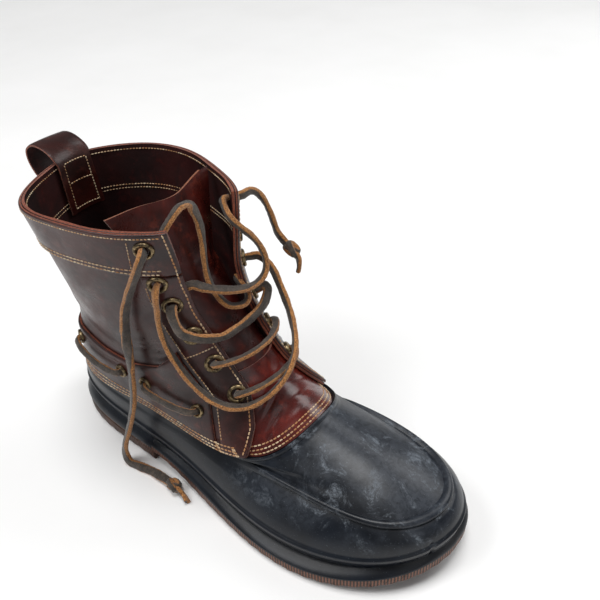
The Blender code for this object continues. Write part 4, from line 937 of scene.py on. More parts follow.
class Finishes:
    """All materials of the boot, made once."""

    def __init__(self) -> None:
        """Makes them."""
        self.quarter = WaxedLeather("quarter_leather", Tone.QUARTER).build()
        self.trim = WaxedLeather("trim_leather", Tone.TRIM).build()
        self.vamp = WaxedLeather("vamp_leather", Tone.VAMP, rough=0.25, coat=0.50, bloom_and_sheen=0.0,
                                 wavy=0.10, patchy=0.3).build()
        self.tongue = WaxedLeather("tongue_leather", Tone.TONGUE, rough=0.32, bloom_and_sheen=0.0).build()
        self.lining = WaxedLeather("lining_leather", Tone.LINING, rough=0.66, coat=0.0, bloom_and_sheen=0.0).build()
        self.raw = RawEdge("cut_edge", "552716", "94492c").build()
        self.suede = RawEdge("suede_edge", "66301a", "a05a2c").build()
        self.rubber = MouldedRubber().build()
        self.gum = GumRubber().build()
        self.brass = AgedBrass().build()
        # Painted shadow: a near-black matt finish for the inside of the eyelets' bores.
        self.dark = Felt("bore_shadow", "0b0706", "150c0a").build()
        self.lace = LaceLeather().build()
        self.thread = SewingThread().build()
        self.felt = Felt("insole_felt", "3a322d", "5b5048").build()


@dataclass
class Studio:
    """Camera at the photograph's place, pale floor and soft lights."""

    location: tuple[float, float, float] = (0.3551, -0.2331, 0.3919)
    azimuth: float = 39.234
    elevation: float = 37.079
    roll: float = -2.537
    lens: float = 41.765
    shift: tuple[float, float] = (-0.0130, 0.0050)
    aim: tuple[float, float, float] = (0.1, 0.0, 0.08)
    room_light: float = 0.18
    floor_half: float = 9.0

    def camera(self) -> None:
        """Sets the camera from its azimuth, elevation and roll."""
        a, e, r = (math.radians(v) for v in (self.azimuth, self.elevation, self.roll))
        back = np.array([math.sin(a) * math.cos(e), -math.cos(a) * math.cos(e), math.sin(e)])
        right = unit(np.cross(-back, [0.0, 0.0, 1.0]))
        up = np.cross(right, -back)
        right, up = math.cos(r) * right + math.sin(r) * up, math.cos(r) * up - math.sin(r) * right
        turn = np.eye(4)
        turn[:3, 0], turn[:3, 1], turn[:3, 2], turn[:3, 3] = right, up, back, self.location
        data = bpy.data.cameras.new("camera")
        data.lens = self.lens
        data.sensor_width = 36.0
        data.shift_x, data.shift_y = self.shift
        data.clip_start = 0.01
        camera = bpy.data.objects.new("camera", data)
        bpy.context.scene.collection.objects.link(camera)
        camera.matrix_world = Matrix(turn.tolist())
        bpy.context.scene.camera = camera

    def lamp(self, name: str, place: tuple[float, float, float], size: float, power: float) -> None:
        """Adds a square soft light that looks at the boot.

        Args:
            name: the light's name.
            place: where it hangs.
            size: its side, in metres.
            power: its power, in watts.
        """
        data = bpy.data.lights.new(name, "AREA")
        data.size = size
        data.energy = power
        light = bpy.data.objects.new(name, data)
        bpy.context.scene.collection.objects.link(light)
        away = unit(np.array(place) - np.array(self.aim))
        side = unit(np.cross([0.0, 0.0, 1.0], away))
        turn = np.eye(4)
        turn[:3, 0], turn[:3, 1], turn[:3, 2], turn[:3, 3] = side, np.cross(away, side), away, place
        light.matrix_world = Matrix(turn.tolist())

    def sun(self, name: str, strength: float, spread: float) -> None:
        """Adds a light from straight above.

        Args:
            name: the light's name.
            strength: its strength.
            spread: how wide it looks from the boot, in degrees.
        """
        data = bpy.data.lights.new(name, "SUN")
        data.energy = strength
        data.angle = math.radians(spread)
        bpy.context.scene.collection.objects.link(bpy.data.objects.new(name, data))

    def floor(self) -> None:
        """Lays the pale floor."""
        g = Graph("pale_floor")
        g.feed(Base_Color=g.mixed(g.noise(6, 3), "f4f4f3", "ffffff"))
        g.fix(Roughness=0.9)
        mesh = bpy.data.meshes.new("floor")
        half = self.floor_half
        mesh.from_pydata([(-half, -half, 0.0), (half, -half, 0.0), (half, half, 0.0), (-half, half, 0.0)], [],
                         [(0, 1, 2, 3)])
        mesh.materials.append(g.material)
        floor = bpy.data.objects.new("floor", mesh)
        bpy.context.scene.collection.objects.link(floor)

    def build(self) -> None:
        """Makes camera, world, lights and floor."""
        self.camera()
        scene = bpy.context.scene
        scene.view_settings.view_transform = "Standard"
        world = bpy.data.worlds.new("pale_room")
        world.use_nodes = True
        background = world.node_tree.nodes["Background"].inputs
        background["Color"].default_value = (1.0, 1.0, 1.0, 1.0)
        background["Strength"].default_value = self.room_light
        scene.world = world
        self.lamp("key_light", (-0.35, -0.75, 1.25), 0.6, 7.0)
        self.lamp("back_light", (0.55, 0.95, 1.00), 0.7, 5.5)
        self.lamp("fill_light", (1.15, -0.55, 0.75), 0.8, 1.2)
        self.sun("high_light", 1.75, 24)
        self.floor()


class WallRow(NamedTuple):
    """One row of the sole's wall.

    Attributes:
        share: its place, as a share of the wall's height.
        inset: how far in it lies from the outline, in metres.
        ribs: how much of the ribs it shows.
        tuck: how far in to the shell it goes, as a share of the ledge between them.
    """

    share: float
    inset: float
    ribs: float
    tuck: float


WALL_ROWS = (
    WallRow(0.00, 0.0016, 0.0, 0.0), WallRow(0.03, 0.0008, 0.2, 0.0), WallRow(0.09, 0.0002, 0.8, 0.0),
    WallRow(0.16, 0.0, 1.0, 0.0), WallRow(0.42, 0.0, 1.0, 0.0), WallRow(0.455, 0.0, 1.0, 0.0),
    WallRow(0.48, 0.0, 1.0, 0.0), WallRow(0.505, 0.0, 1.0, 0.0), WallRow(0.60, 0.0, 1.0, 0.0),
    WallRow(0.635, 0.0002, 0.6, 0.0), WallRow(0.640, -0.0004, 0.0, 0.0), WallRow(0.70, -0.0004, 0.0, 0.02),
    WallRow(0.78, -0.0002, 0.0, 0.16), WallRow(0.86, 0.0, 0.0, 0.42), WallRow(0.94, 0.0, 0.0, 0.76),
    WallRow(1.00, 0.0, 0.0, 1.0),
)
# From this row up the wall carries the shell's rubber
FOXING_ROW = 10


@dataclass
class Outsole:
    """Gum sole: ribbed wall with rubber over its top, grooved heel, scalloped edge, wavy tread bars."""

    surface: LastSurface
    finish: Finishes
    scallop_pitch: float = 0.0105
    scallop_height: float = 0.0011
    tread_depth: float = 0.0026
    tread_pitch: float = 0.0105
    least_wall: float = 0.006
    shell_face: float = 0.0013
    groove_depth: float = 0.0012
    groove_share: float = 0.48
    groove_width: float = 0.022
    lanes: int = 22

    @property
    def breast(self) -> float:
        """Place along the foot where the heel block ends."""
        return self.surface.sizes.heel_length - self.surface.sizes.heel_rest

    def top(self, x: Array) -> Array:
        """Height of the sole's top along the foot."""
        turn = np.linspace(0, 1, 60)
        edge = self.surface.point(turn, 0 * turn)
        return np.interp(x, edge[:, 0], edge[:, 2]) - self.surface.sizes.gap

    def bottom(self, x: Array) -> Array:
        """Height of the underside: flat heel, arch, flat forefoot, then the toe's rise by a power of 1.7."""
        s = self.surface.sizes
        heel_end, ball = s.heel_length - s.heel_rest, 0.53 * s.length - s.heel_rest
        spring_at, tip = 0.74 * s.length - s.heel_rest, s.length - s.heel_rest
        arch = s.arch_rise * (1 - smooth_step(x, heel_end, ball))
        spring = s.toe_spring * np.clip((x - spring_at) / (tip - spring_at), 0, None) ** 1.7
        return np.where(x < heel_end, 0.0, np.where(x < ball, arch, spring))

    def outline(self, x: Array) -> tuple[Array, Array]:
        """Outer and inner side offsets of the sole's edge at x."""
        s = self.surface.sizes
        turn = np.arccos(np.clip(1 - 2 * (x + s.heel_rest) / s.length, -1, 1)) / math.pi
        values = self.surface.side_values(SOLE_HALF, SOLE_MIDDLE)
        return tuple(self.surface.round_weights(WIDTH_STATIONS, t) @ values for t in (turn, 2 - turn))

    def tread(self, x: Array, share: Array) -> Array:
        """Hollows between the bars: a softened square wave along x, shifted by a wave across."""
        shift = 0.0022 * np.sin(4 * math.pi * share)
        wave = np.sin(2 * math.pi * (x + shift) / self.tread_pitch)
        inside = smooth_step(np.minimum(share, 1 - share), 0.02, 0.07)
        flat = smooth_step(np.abs(x), 0.006, 0.009)
        return self.tread_depth * smooth_step(wave, 0.05, 0.45) * inside * flat

    def stations(self) -> Array:
        """Places along the foot: close at heel and toe, and one on each side of the breast."""
        s = self.surface.sizes
        u = np.linspace(0.018, 0.982, 520)
        x = -s.heel_rest + s.length * (1 - np.cos(math.pi * u)) / 2
        breast = self.breast
        return np.sort(np.concatenate([x[np.abs(x - breast) > 0.0006], [breast - 0.0003, breast + 0.0003]]))

    def wall(self, x: Array) -> tuple[list[Array], list[Array], Array]:
        """The wall's rows, from its lower edge up to the shell.

        Args:
            x: places along the foot.

        Returns:
            The rows' points, how ribbed they are, and the way round the outline.
        """
        outer, inner = self.outline(x)
        loop = np.concatenate([np.stack([x, outer], 1), np.stack([x, inner], 1)[::-1]])
        way = np.concatenate([[0], np.cumsum(np.linalg.norm(np.diff(loop, axis=0), axis=1))])
        along = unit(np.roll(loop, -1, axis=0) - np.roll(loop, 1, axis=0))
        inward = np.stack([-along[:, 1], along[:, 0]], axis=1)
        place = loop[:, 0]
        low, high = np.minimum(self.bottom(place), self.top(place) - self.least_wall), self.top(place)
        ribbed = smooth_step(place, 0.015, 0.050)
        edge = 0.5 + 0.5 * np.cos(2 * math.pi * way / self.scallop_pitch)
        scallop = self.scallop_height * edge * (np.abs(place - self.breast) > 0.004)
        foot = self.surface.offset(np.linspace(0, 2, 600), np.zeros(600), np.full(600, self.shell_face))[:, :2]
        ledge = np.linalg.norm(loop[:, None, :] - foot[None, :, :], axis=2).min(axis=1)
        loops, ribs = [], []
        for row in WALL_ROWS:
            ribs.append(ribbed * row.ribs)
            notch = self.groove_depth * math.exp(-((row.share - self.groove_share) / self.groove_width) ** 2)
            groove = notch * (1 - ribbed)
            height = low + scallop * (1 - row.share) ** 3 + row.share * (high - low)
            flat = loop + inward * (row.inset + groove + row.tuck * ledge)[:, None]
            loops.append(np.column_stack([flat, height]))
        return loops, ribs, way

    def underside(self, lower: Array, count: int) -> Array:
        """Lanes of points between the two sides of the wall's lowest row, with the tread.

        Args:
            lower: the wall's lowest row.
            count: how many places along the foot it has.

        Returns:
            Points by lane and place.
        """
        share = np.linspace(0, 1, self.lanes)[1:-1, None]
        left, right = lower[:count], lower[:count - 1:-1]
        under = left[None] * (1 - share[..., None]) + right[None] * share[..., None]
        level = np.minimum(self.bottom(under[..., 0]), self.top(under[..., 0]) - self.least_wall)
        lift = (under[..., 2] - level) * (1 - smooth_step(np.minimum(share, 1 - share), 0.03, 0.12))
        under[..., 2] = level + lift + self.tread(under[..., 0], share)
        return under

    def build(self) -> bpy.types.Object:
        """Makes the sole: rows round its wall, lanes across its underside, and its top.

        Returns:
            The new object.
        """
        x = self.stations()
        count, lanes = len(x), self.lanes
        around, start = 2 * count, len(WALL_ROWS) * 2 * count
        loops, ribs, way = self.wall(x)
        points = np.concatenate([np.concatenate(loops), self.underside(loops[0], count).reshape(-1, 3)])
        index = np.vstack([np.arange(count), start + np.arange(count * (lanes - 2)).reshape(lanes - 2, count),
                           np.arange(around - 1, count - 1, -1)])
        lid = start - around + np.vstack([np.arange(count), np.arange(around - 1, count - 1, -1)])
        quads = np.concatenate([
            lattice(len(WALL_ROWS), around, wrap=True),
            np.stack([index[:-1, :-1], index[1:, :-1], index[1:, 1:], index[:-1, 1:]], -1).reshape(-1, 4),
            np.stack([lid[0, :-1], lid[0, 1:], lid[1, 1:], lid[1, :-1]], axis=-1)])
        rest = np.zeros(len(points) - start)
        marks = {"way": np.append(np.tile(way, len(WALL_ROWS)), rest), "ribbed": np.append(np.concatenate(ribs), rest)}
        foxing = (quads.min(axis=1) // around >= FOXING_ROW) & (quads.max(axis=1) < start)
        return make_piece("outsole_gum", points, quads, [self.finish.gum, self.finish.rubber],
                          ["outsole"], kinds=foxing.astype(int), marks=marks, sharp=35,
                          caps=[[int(k) for k in end] for end in (index[::-1, 0], index[:, -1])])


# The foxing's outside: climb, and how far out it stands as a share of its step
FOXING_PROFILE = ((0.0, 1.0), (0.05, 1.05), (0.12, 1.0), (0.30, 1.0), (0.50, 1.0), (0.66, 1.0), (0.71, 0.80),
                  (0.74, 0.72), (0.77, 0.80), (0.81, 1.10), (0.87, 1.28), (0.93, 1.20), (0.98, 0.85), (1.02, 0.35),
                  (1.06, 0.05))
# The wall over it: climb, and how much of the toe's notch is left
WALL_PROFILE = ((1.16, 0.6), (1.4, 0.1), (1.7, 0), (2.1, 0))


@dataclass
class RubberShell:
    """Moulded lower: foxing with its line, side wall, toe ridge, rounded lip, flange inside."""

    surface: LastSurface
    finish: Finishes
    foxing_step: float = 0.0014
    ridge_height: float = 0.0025
    ridge_width: float = 0.0043
    notch_turn: float = 0.918
    notch_depth: float = 0.0011
    notch_width: float = 0.004
    lip_height: float = 0.0016
    flange_reach: float = 0.0078
    flange_thickness: float = 0.0014
    seat_width: float = 0.0080
    seat_thickness: float = 0.0020

    def build(self) -> bpy.types.Object:
        """Makes the shell: rows of one closed profile carried round the foot.

        Returns:
            The new object.
        """
        s, surface = self.surface.sizes, self.surface
        turn = np.linspace(0, 2, 400, endpoint=False)
        near = np.abs(turn - 1.0)
        fade = 1 - smooth_step(near, 0.36, 0.46)
        under_plug = 1 - smooth_step(near, 0.30, 0.36)
        flange = -s.layer_gap - (s.leather + s.layer_gap + s.gap) * under_plug
        notch = self.notch_depth * np.exp(-((turn - self.notch_turn) / self.notch_width) ** 2)
        rows: list[tuple[Array, Array]] = []
        rows += [(climb + 0 * turn, self.foxing_step * height - notch) for climb, height in FOXING_PROFILE]
        rows += [(climb + 0 * turn, 0.0 - notch * left) for climb, left in WALL_PROFILE]
        for way in (-2.6, -1.9, -1.45):
            climb = surface.climb_by(turn, "ridge", way * self.ridge_width)
            rows.append((np.maximum(climb, 2.2 + 0.02 * way), 0 * turn))
        for way in np.linspace(-1.0, 1.0, 11):
            bead = self.ridge_height * math.sqrt(max(0.0, 1 - way ** 2)) - 0.0004 * (abs(way) > 0.95)
            rows.append((surface.climb_by(turn, "ridge", way * self.ridge_width / 1.35), bead * fade))
        rows += [(surface.climb_by(turn, "ridge", 1.3 * self.ridge_width), -0.0003 * fade)]
        rows += [(climb + 0 * turn, 0 * turn) for climb in (3.55, 3.8, 4.1, 4.4, 4.7)]
        rows.append((np.maximum(surface.climb_by(turn, "rim", -2.1 * s.lip_width), 4.85), 0 * turn))
        rows.append((np.maximum(surface.climb_by(turn, "rim", -1.5 * s.lip_width), 4.95), 0.0002 + 0 * turn))
        for share in np.linspace(0.0, 1.0, 9):
            bead = self.lip_height * (0.15 + 0.85 * math.sin(math.pi * min(share, 0.72) / 1.44) ** 0.8)
            rows.append((np.maximum(surface.climb_by(turn, "rim", -s.lip_width * (1 - share)), 5.0 + 0.05 * share),
                         bead + 0 * turn))
        reach, inside = surface.climb_by(turn, "rim", self.flange_reach), flange - self.flange_thickness
        rows += [(6.0 + 0 * turn, flange), (reach, flange), (reach, inside), (6.0 + 0 * turn, inside)]
        rows += [(climb + 0 * turn, -s.rubber + 0 * turn) for climb in (5.0, 4.2, 3.2, 1.9, 0.6)]
        grid = [surface.offset(turn, climb, height) for climb, height in rows]
        sole_top = Outsole(surface, self.finish).top
        grid[0][:, 2] = sole_top(grid[0][:, 0]) + 2 * s.gap
        foot = surface.point(turn, 0 * turn)
        inward = unit(surface.normal(turn, 0 * turn) * [1.0, 1.0, 0.0])
        for depth, rise in ((s.rubber, self.seat_thickness), (self.seat_width, self.seat_thickness),
                            (self.seat_width, 0.0)):
            ring = foot - depth * inward
            ring[:, 2] = sole_top(ring[:, 0]) + 3 * s.gap + rise
            grid.append(ring)
        count, columns = len(grid), len(turn)
        points = np.stack(grid)
        quads = lattice(count, columns, wrap=True)
        last, first = (count - 1) * columns + np.arange(columns), np.arange(columns)
        quads = np.concatenate([quads, np.stack([last, np.roll(last, -1), np.roll(first, -1), first], axis=1)])
        return make_piece("rubber_lower", points, quads, [self.finish.rubber], ["rubber_shell"],
                          sharp=50)


@dataclass
class Footbed:
    """Felt insole, a little crowned at its edge."""

    surface: LastSurface
    finish: Finishes
    thickness: float = 0.0040

    def build(self) -> bpy.types.Object:
        """Makes the pad: straight lines across between the two sides of the shell's inside."""
        s = self.surface.sizes
        turn = np.linspace(0, 1, 120)[2:-2]
        sides = [self.surface.offset(t, 0.15, -(s.rubber + 0.0014)) for t in (turn, 2 - turn)]
        share = np.linspace(0, 1, 24)[:, None]
        grid = sides[0][None] * (1 - share[..., None]) + sides[1][None] * share[..., None]
        floor = Outsole(self.surface, self.finish).top(grid[..., 0]) + 0.0020 + 5 * s.gap
        crown = 1 - 0.5 * (1 - rounding(share, 0.06, 0.004))
        upper, lower = grid.copy(), grid.copy()
        upper[..., 2] = floor + self.thickness * crown
        lower[..., 2] = floor
        points, quads, _ = two_sided(upper, lower)
        return make_piece("footbed", points, quads, [self.finish.felt], ["insole"])


Edge = Callable[[Array], Array]


@dataclass
class Shaft:
    """Leather upper: quarters, vamp plug, tongue, band, stays, panels, back strip, pull loop, stitches."""

    surface: LastSurface
    finish: Finishes

    def __post_init__(self) -> None:
        """Prepares the folded leather and the threads."""
        self.sizes = self.surface.sizes
        self.quarter = Hide(self.surface, QUARTER_FOLDS)
        self.plug = Hide(self.surface, PLUG_FOLDS)
        self.thread = Stitcher(0.0027, 0.0022, 0.0009, 0.00042)
        self.fine_thread = Stitcher(0.0021, 0.0016, 0.0008, 0.00040)

    def low(self, turn: Array) -> Array:
        """The leather's lower edge."""
        return self.surface.climb_by(turn, "rim", 2 * self.sizes.gap)

    def under_band(self, turn: Array) -> Array:
        """The line just under the collar band."""
        return self.surface.climb_by(turn, "collar", -self.sizes.band_height - 2 * self.sizes.gap)

    def between(self, up: Array, over: Array, low: Edge, high: Edge, front: Edge,
                rear: Edge) -> tuple[Array, Array]:
        """Places in a patch between four edges, by settling turn and climb in turns.

        Args:
            up: shares from the low to the high edge.
            over: shares from the front to the rear edge.
            low: climb of the low edge by turn.
            high: climb of the high edge by turn.
            front: turn of the front edge by climb.
            rear: turn of the rear edge by climb.

        Returns:
            Turns and climbs.
        """
        climb = ROW["rim"] + 3.0 * up + 0.0 * over
        for _ in range(4):
            turn = front(climb) * (1 - over) + rear(climb) * over
            climb = low(turn) * (1 - up) + high(turn) * up
        return turn, climb

    def overlay(self, name: str, node: str, size: tuple[float, float], edges: tuple[Edge, Edge, Edge, Edge],
                mirror: bool = False, roll: float = 0.0) -> bpy.types.Object:
        """A trim piece with rounded borders.

        Args:
            name: the piece's name.
            node: the CAD node that it stands for.
            size: its height and width in metres.
            edges: low, high, front and rear edges.
            mirror: whether it lies on the inner side.
            roll: how much its high edge stands up, in metres.

        Returns:
            The new object.
        """
        border = 0.0011
        up = bordered(size[0], border, 0.0013)[:, None]
        over = bordered(size[1], border, 0.0016)[None, :]
        turn, climb = self.between(up, over, *edges)
        turn = 2 - turn if mirror else turn
        swell = rounding(up, size[0], border) * rounding(over, size[1], border)
        thick = self.sizes.trim * swell + roll * np.exp(-((1 - up) * size[0] / 0.0022 - 0.7) ** 2)
        outer = self.quarter.offset(turn, climb, self.sizes.trim_base + thick)
        inner = self.quarter.offset(turn, climb, self.sizes.trim_base - 0.0004)
        points, quads, kinds = two_sided(outer, inner)
        return make_piece(name, points, quads, [self.finish.trim, self.finish.raw], [node],
                          kinds=np.minimum(kinds, 1))

    def build_quarters(self) -> None:
        """The hollow wall, open at the collar and down the throat."""
        s = self.sizes
        up = bordered(0.135, 0.001, 0.0012)[:, None]
        over = bordered(0.30, 0.001, 0.0013)[None, :]
        climb = ROW["rim"] + up * (ROW["collar"] - ROW["rim"]) + 0 * over
        throat = table(climb, THROAT)
        turn = 1 + throat + over * (2 - 2 * throat)
        climb = np.where(up == 0, self.low(turn), climb)
        swell = rounding(up, 0.135, 0.001) * rounding(over, 0.30, 0.001)
        outer = self.quarter.offset(turn, climb, s.leather * (0.6 + 0.4 * swell))
        ripple = 0.00025 * np.sin(11 * math.pi * turn) * smooth_step(climb, 8.6, 9.4)
        inner = self.surface.offset(turn, climb, ripple)
        points, quads, kinds = two_sided(outer, inner)
        make_piece("quarters", points, quads, [self.finish.quarter, self.finish.lining, self.finish.raw],
                   ["leather_shaft"], kinds=kinds)

    def build_plug(self) -> None:
        """The glossy dome between the quarters."""
        s = self.sizes
        up = np.linspace(0, 1, 60)[:, None]
        over = np.linspace(-1, 1, 90)[None, :]
        climb = ROW["rim"] + 1.3 * up + 0 * over
        turn = 1 + over * table(climb, PLUG_EDGE)
        climb = np.where(up == 0, self.low(turn), climb)
        outer = self.plug.offset(turn, climb, s.plug_top)
        inner = self.surface.offset(turn, climb, s.plug_top - s.leather)
        points, quads, kinds = two_sided(outer, inner)
        make_piece("vamp_dome", points, quads, [self.finish.vamp, self.finish.lining, self.finish.raw],
                   ["vamp_plug"], kinds=kinds)

    def tongue_face(self, spread: Array, climb: Array) -> Array:
        """The tongue's outer face: seated under the plug, then leaning back from the throat."""
        s = self.sizes
        turn = 1 + spread * table(climb, TONGUE_SEAT)
        seated = self.surface.offset(turn, climb, -(s.leather + 2 * s.layer_gap + s.gap))
        along, up, wide, bow = (table(climb, TONGUE_LINES, key) for key in (1, 2, 3, 4))
        leaning = np.stack([along * s.length - s.heel_rest - bow * s.half_ball * spread ** 2,
                            s.half_ball * (TONGUE_MIDDLE + wide * spread),
                            s.heel_height + up * s.upper_height], axis=-1)
        share = smooth_step(climb, 7.2, 8.8)[..., None]
        return seated * (1 - share) + leaning * share

    def build_tongue(self) -> None:
        """Wide soft tongue with a few waves and a raw top edge."""
        up = bordered(0.12, 0.0009, 0.0016)[:, None]
        over = bordered(0.06, 0.0009, 0.0016)[None, :]
        spread = 2 * over - 1 + 0 * up
        dip = 0.075 * (1 - spread ** 2) + 0.03 * np.sin(4.4 * spread + 0.6)
        climb = 6.6 + (3.4 - dip) * up + 0 * over
        face = self.tongue_face(spread, climb)
        step = 1e-3
        over_by, up_by = self.tongue_face(spread + step, climb) - face, face - self.tongue_face(spread, climb - step)
        out = unit(np.cross(over_by, up_by))
        free = smooth_step(climb, 8.2, 9.2)
        wave = 0.0007 * np.sin(5.2 * spread + 1.4 * climb) + 0.0004 * np.sin(9 * spread - 3.1 * climb)
        crease = -0.0006 * np.exp(-((climb - 8.75 - 0.12 * spread) / 0.05) ** 2)
        crease -= 0.0005 * np.exp(-((climb - 9.05 + 0.10 * spread) / 0.04) ** 2)
        wave = np.minimum(free * wave + crease, 0.0004)
        outer = face + wave[..., None] * out
        inner = face - (0.0020 - wave[..., None]) * out
        points, quads, kinds = two_sided(outer, inner)
        make_piece("tongue_leather", points, quads, [self.finish.tongue, self.finish.lining, self.finish.suede],
                   ["tongue"], kinds=kinds)

    def build_trims(self) -> None:
        """Collar band, stays, side panels and back strip, with their rows of stitches."""
        s, surface = self.sizes, self.surface
        half_strip = s.strip_width / 2

        def band_low(turn: Array) -> Array:
            """The collar band's lower edge."""
            return surface.climb_by(turn, "collar", -s.band_height)

        def collar(turn: Array) -> Array:
            """The collar's edge."""
            return ROW["collar"] + 0 * turn

        self.overlay("collar_band_leather", "collar_band", (s.band_height, 0.31),
                     (band_low, collar, lambda c: 1 + table(c, THROAT), lambda c: 3 - table(c, THROAT)))
        self.overlay("back_strip_leather", "back_strip", (0.10, s.strip_width),
                     (self.low, self.under_band, lambda c: -half_strip / surface.pace(0 * c, c),
                      lambda c: half_strip / surface.pace(0 * c, c)))
        for side, mirror in (("lateral", False), ("medial", True)):
            self.overlay(f"eyestay_leather_{side}", f"eyestay_{side}", (0.11, 0.022),
                         (self.low, self.under_band, lambda c: 1 - table(c, THROAT),
                          lambda c: 1 - table(c, EYESTAY_SEAM)), mirror)
            self.overlay(f"side_panel_leather_{side}", f"side_panel_{side}", (0.036, 0.125),
                         (self.low, lambda t: np.interp(t, *zip(*PANEL_TOP)),
                          lambda c: (half_strip + 0.0006) / surface.pace(0 * c, c),
                          lambda c: 1 - table(c, EYESTAY_SEAM) - 0.018), mirror, roll=0.0007)
            self.sew_side(mirror)
        self.sew_round()

    def row(self, turn: Array, climb: Array, height: float, mirror: bool = False, fine: bool = False) -> None:
        """Adds a row of stitches on the quarters' layers."""
        turn = 2 - turn if mirror else turn
        stitcher = self.fine_thread if fine else self.thread
        stitcher.add(self.quarter.line(np.asarray(turn, float), np.asarray(climb, float), height))

    def sew_side(self, mirror: bool) -> None:
        """Stitches of one side: throat edge, stay's seam, tee, panel's top, bar tacks."""
        surface, top = self.surface, self.sizes.trim_top
        climb = np.linspace(6.10, 9.985, 160)
        pace = surface.pace(1 - table(climb, THROAT), climb)
        self.row(1 - table(climb, THROAT) - 0.0024 / pace, climb, top, mirror)
        climb = np.linspace(6.34, 9.30, 140)
        seam = 1 - table(climb, EYESTAY_SEAM)
        pace = surface.pace(seam, climb)
        self.row(seam + 0.0016 / pace, climb, top, mirror, fine=True)
        over = np.linspace(0, 1, 12)
        turn = (1 - 0.262) * (1 - over) + (1 - 0.135) * over
        self.row(turn, 7.78 + 0.06 * over, top, mirror, fine=True)
        turn = np.linspace(0.075, 0.705, 120)
        crest = np.interp(turn, *zip(*PANEL_TOP))
        speed = np.linalg.norm(surface.tangents(turn, crest)[1], axis=-1)
        self.row(turn, crest - 0.0040 / speed, top, mirror, fine=True)
        climb = np.linspace(9.42, 9.92, 12)
        self.row(1 - 0.305 + 0 * climb, climb, top, mirror, fine=True)
        for nearness in (0.250, 0.300):
            for shift in (-0.0007, 0.0, 0.0007):
                turn = 1 - nearness + 0 * np.linspace(0, 1, 6)
                turn = turn + shift / float(surface.pace(np.array([1 - nearness]), np.array([6.2]))[0])
                climb = surface.climb_by(turn, "rim", 1.0) * 0 + 6.0
                rise = np.linspace(0.0012, 0.0078, 6)
                climb = climb + rise / np.linalg.norm(surface.tangents(turn, climb)[1], axis=-1)
                self.row(turn, climb, top, mirror, fine=True)

    def sew_round(self) -> None:
        """Rows over the rubber, on the collar band, inside the collar and along the back strip."""
        s, surface, top = self.sizes, self.surface, self.sizes.trim_top
        for way in (0.0022, 0.0046, 0.0070):
            turn = np.linspace(1.240, 2.760, 420)
            self.row(turn, surface.climb_by(turn, "rim", way), top)
            turn = np.linspace(1 - 0.222, 1 + 0.222, 160)
            climb = surface.climb_by(turn, "rim", way)
            self.thread.add(self.plug.line(turn, climb, s.plug_top))
        turn = np.linspace(1.205, 2.795, 420)
        for way in (0.0018, 0.0044):
            self.row(turn, surface.climb_by(turn, "collar", -s.band_height + way), top)
        self.row(turn, surface.climb_by(turn, "collar", -0.0024), top, fine=True)
        for way in (-0.0030, -0.0268, -0.0292):
            climb = surface.climb_by(turn, "collar", way)
            self.fine_thread.add((surface.offset(turn, climb, -0.0001), -surface.normal(turn, climb)))
        climb = np.linspace(6.35, 9.25, 120)
        pace = surface.pace(0 * climb, climb)
        for side in (-1, 1):
            self.row(side * (s.strip_width / 2 - 0.0018) / pace, climb, top)

    def build_pull_loop(self) -> None:
        """Strap sewn inside the back of the collar, bowed out over it and down outside."""
        s, surface = self.sizes, self.surface
        across = np.linspace(-0.5, 0.5, 22) * LOOP_WIDTH
        lines = []
        legs = (((-0.034, -0.022, -0.011, -0.002), -2 * s.layer_gap - s.gap - LOOP_STRAP / 2),
                ((-0.0225, -0.0250, -0.0275), s.trim_top + 2 * s.gap + LOOP_STRAP / 2))
        for distances, height in legs:
            leg = []
            for distance in distances:
                at = ROW["collar"] + 0 * across
                turn = across / surface.pace(0 * across, at)
                leg.append(surface.offset(turn, surface.climb_by(turn, "collar", distance), height))
            lines.append(leg)
        root = surface.point(np.array([0.0]), np.array([10.0]))[0]
        rim = ROW["collar"] + 0 * across
        sway = surface.point(across / surface.pace(0 * across, rim), rim) - root
        bow = [root + LOOP_WIDTH * np.array([back, 0.0, up]) + sway * np.array([share, 1.0, share])
               for back, up, share in LOOP_BOW]
        knots = np.stack(lines[0] + bow + lines[1])
        flat = smooth_route(knots.reshape(len(knots), -1), 0.0045)
        grid = flat.reshape(len(flat), len(across), 3)
        face = unit(np.cross(np.gradient(grid, axis=0), np.gradient(grid, axis=1)))
        swell = rounding(np.linspace(0, 1, len(across)), LOOP_WIDTH, 0.0014)[None, :, None]
        half = LOOP_STRAP / 2 * face * (0.45 + 0.55 * swell)
        points, quads, kinds = two_sided(grid + half, grid - half)
        make_piece("pull_strap", points, quads, [self.finish.trim, self.finish.lining, self.finish.raw],
                   ["pull_loop"], kinds=kinds)
        rows = len(grid)
        inside = slice(2, int(rows * 0.30))
        for column in (3, len(across) - 4):
            for side in (1, -1):
                line = grid[:, column][inside] + side * half[:, column][inside]
                self.fine_thread.add((line, side * face[inside, column]))
            line = grid[:, column][-int(rows * 0.22):] + half[:, column][-int(rows * 0.22):]
            self.fine_thread.add((line, face[-int(rows * 0.22):, column]))
        for row in (3, int(rows * 0.17), int(rows * 0.28)):
            for side in (1, -1):
                line = grid[row, 3:-3] + side * half[row, 3:-3]
                self.fine_thread.add((line, side * face[row, 3:-3]))

    def build(self) -> None:
        """Makes every piece of leather and sews it."""
        self.build_quarters()
        self.build_plug()
        self.build_tongue()
        self.build_trims()
        self.build_pull_loop()
        self.thread.build("stitch_rows", self.finish.thread)
        self.fine_thread.build("fine_stitch_rows", self.finish.thread)


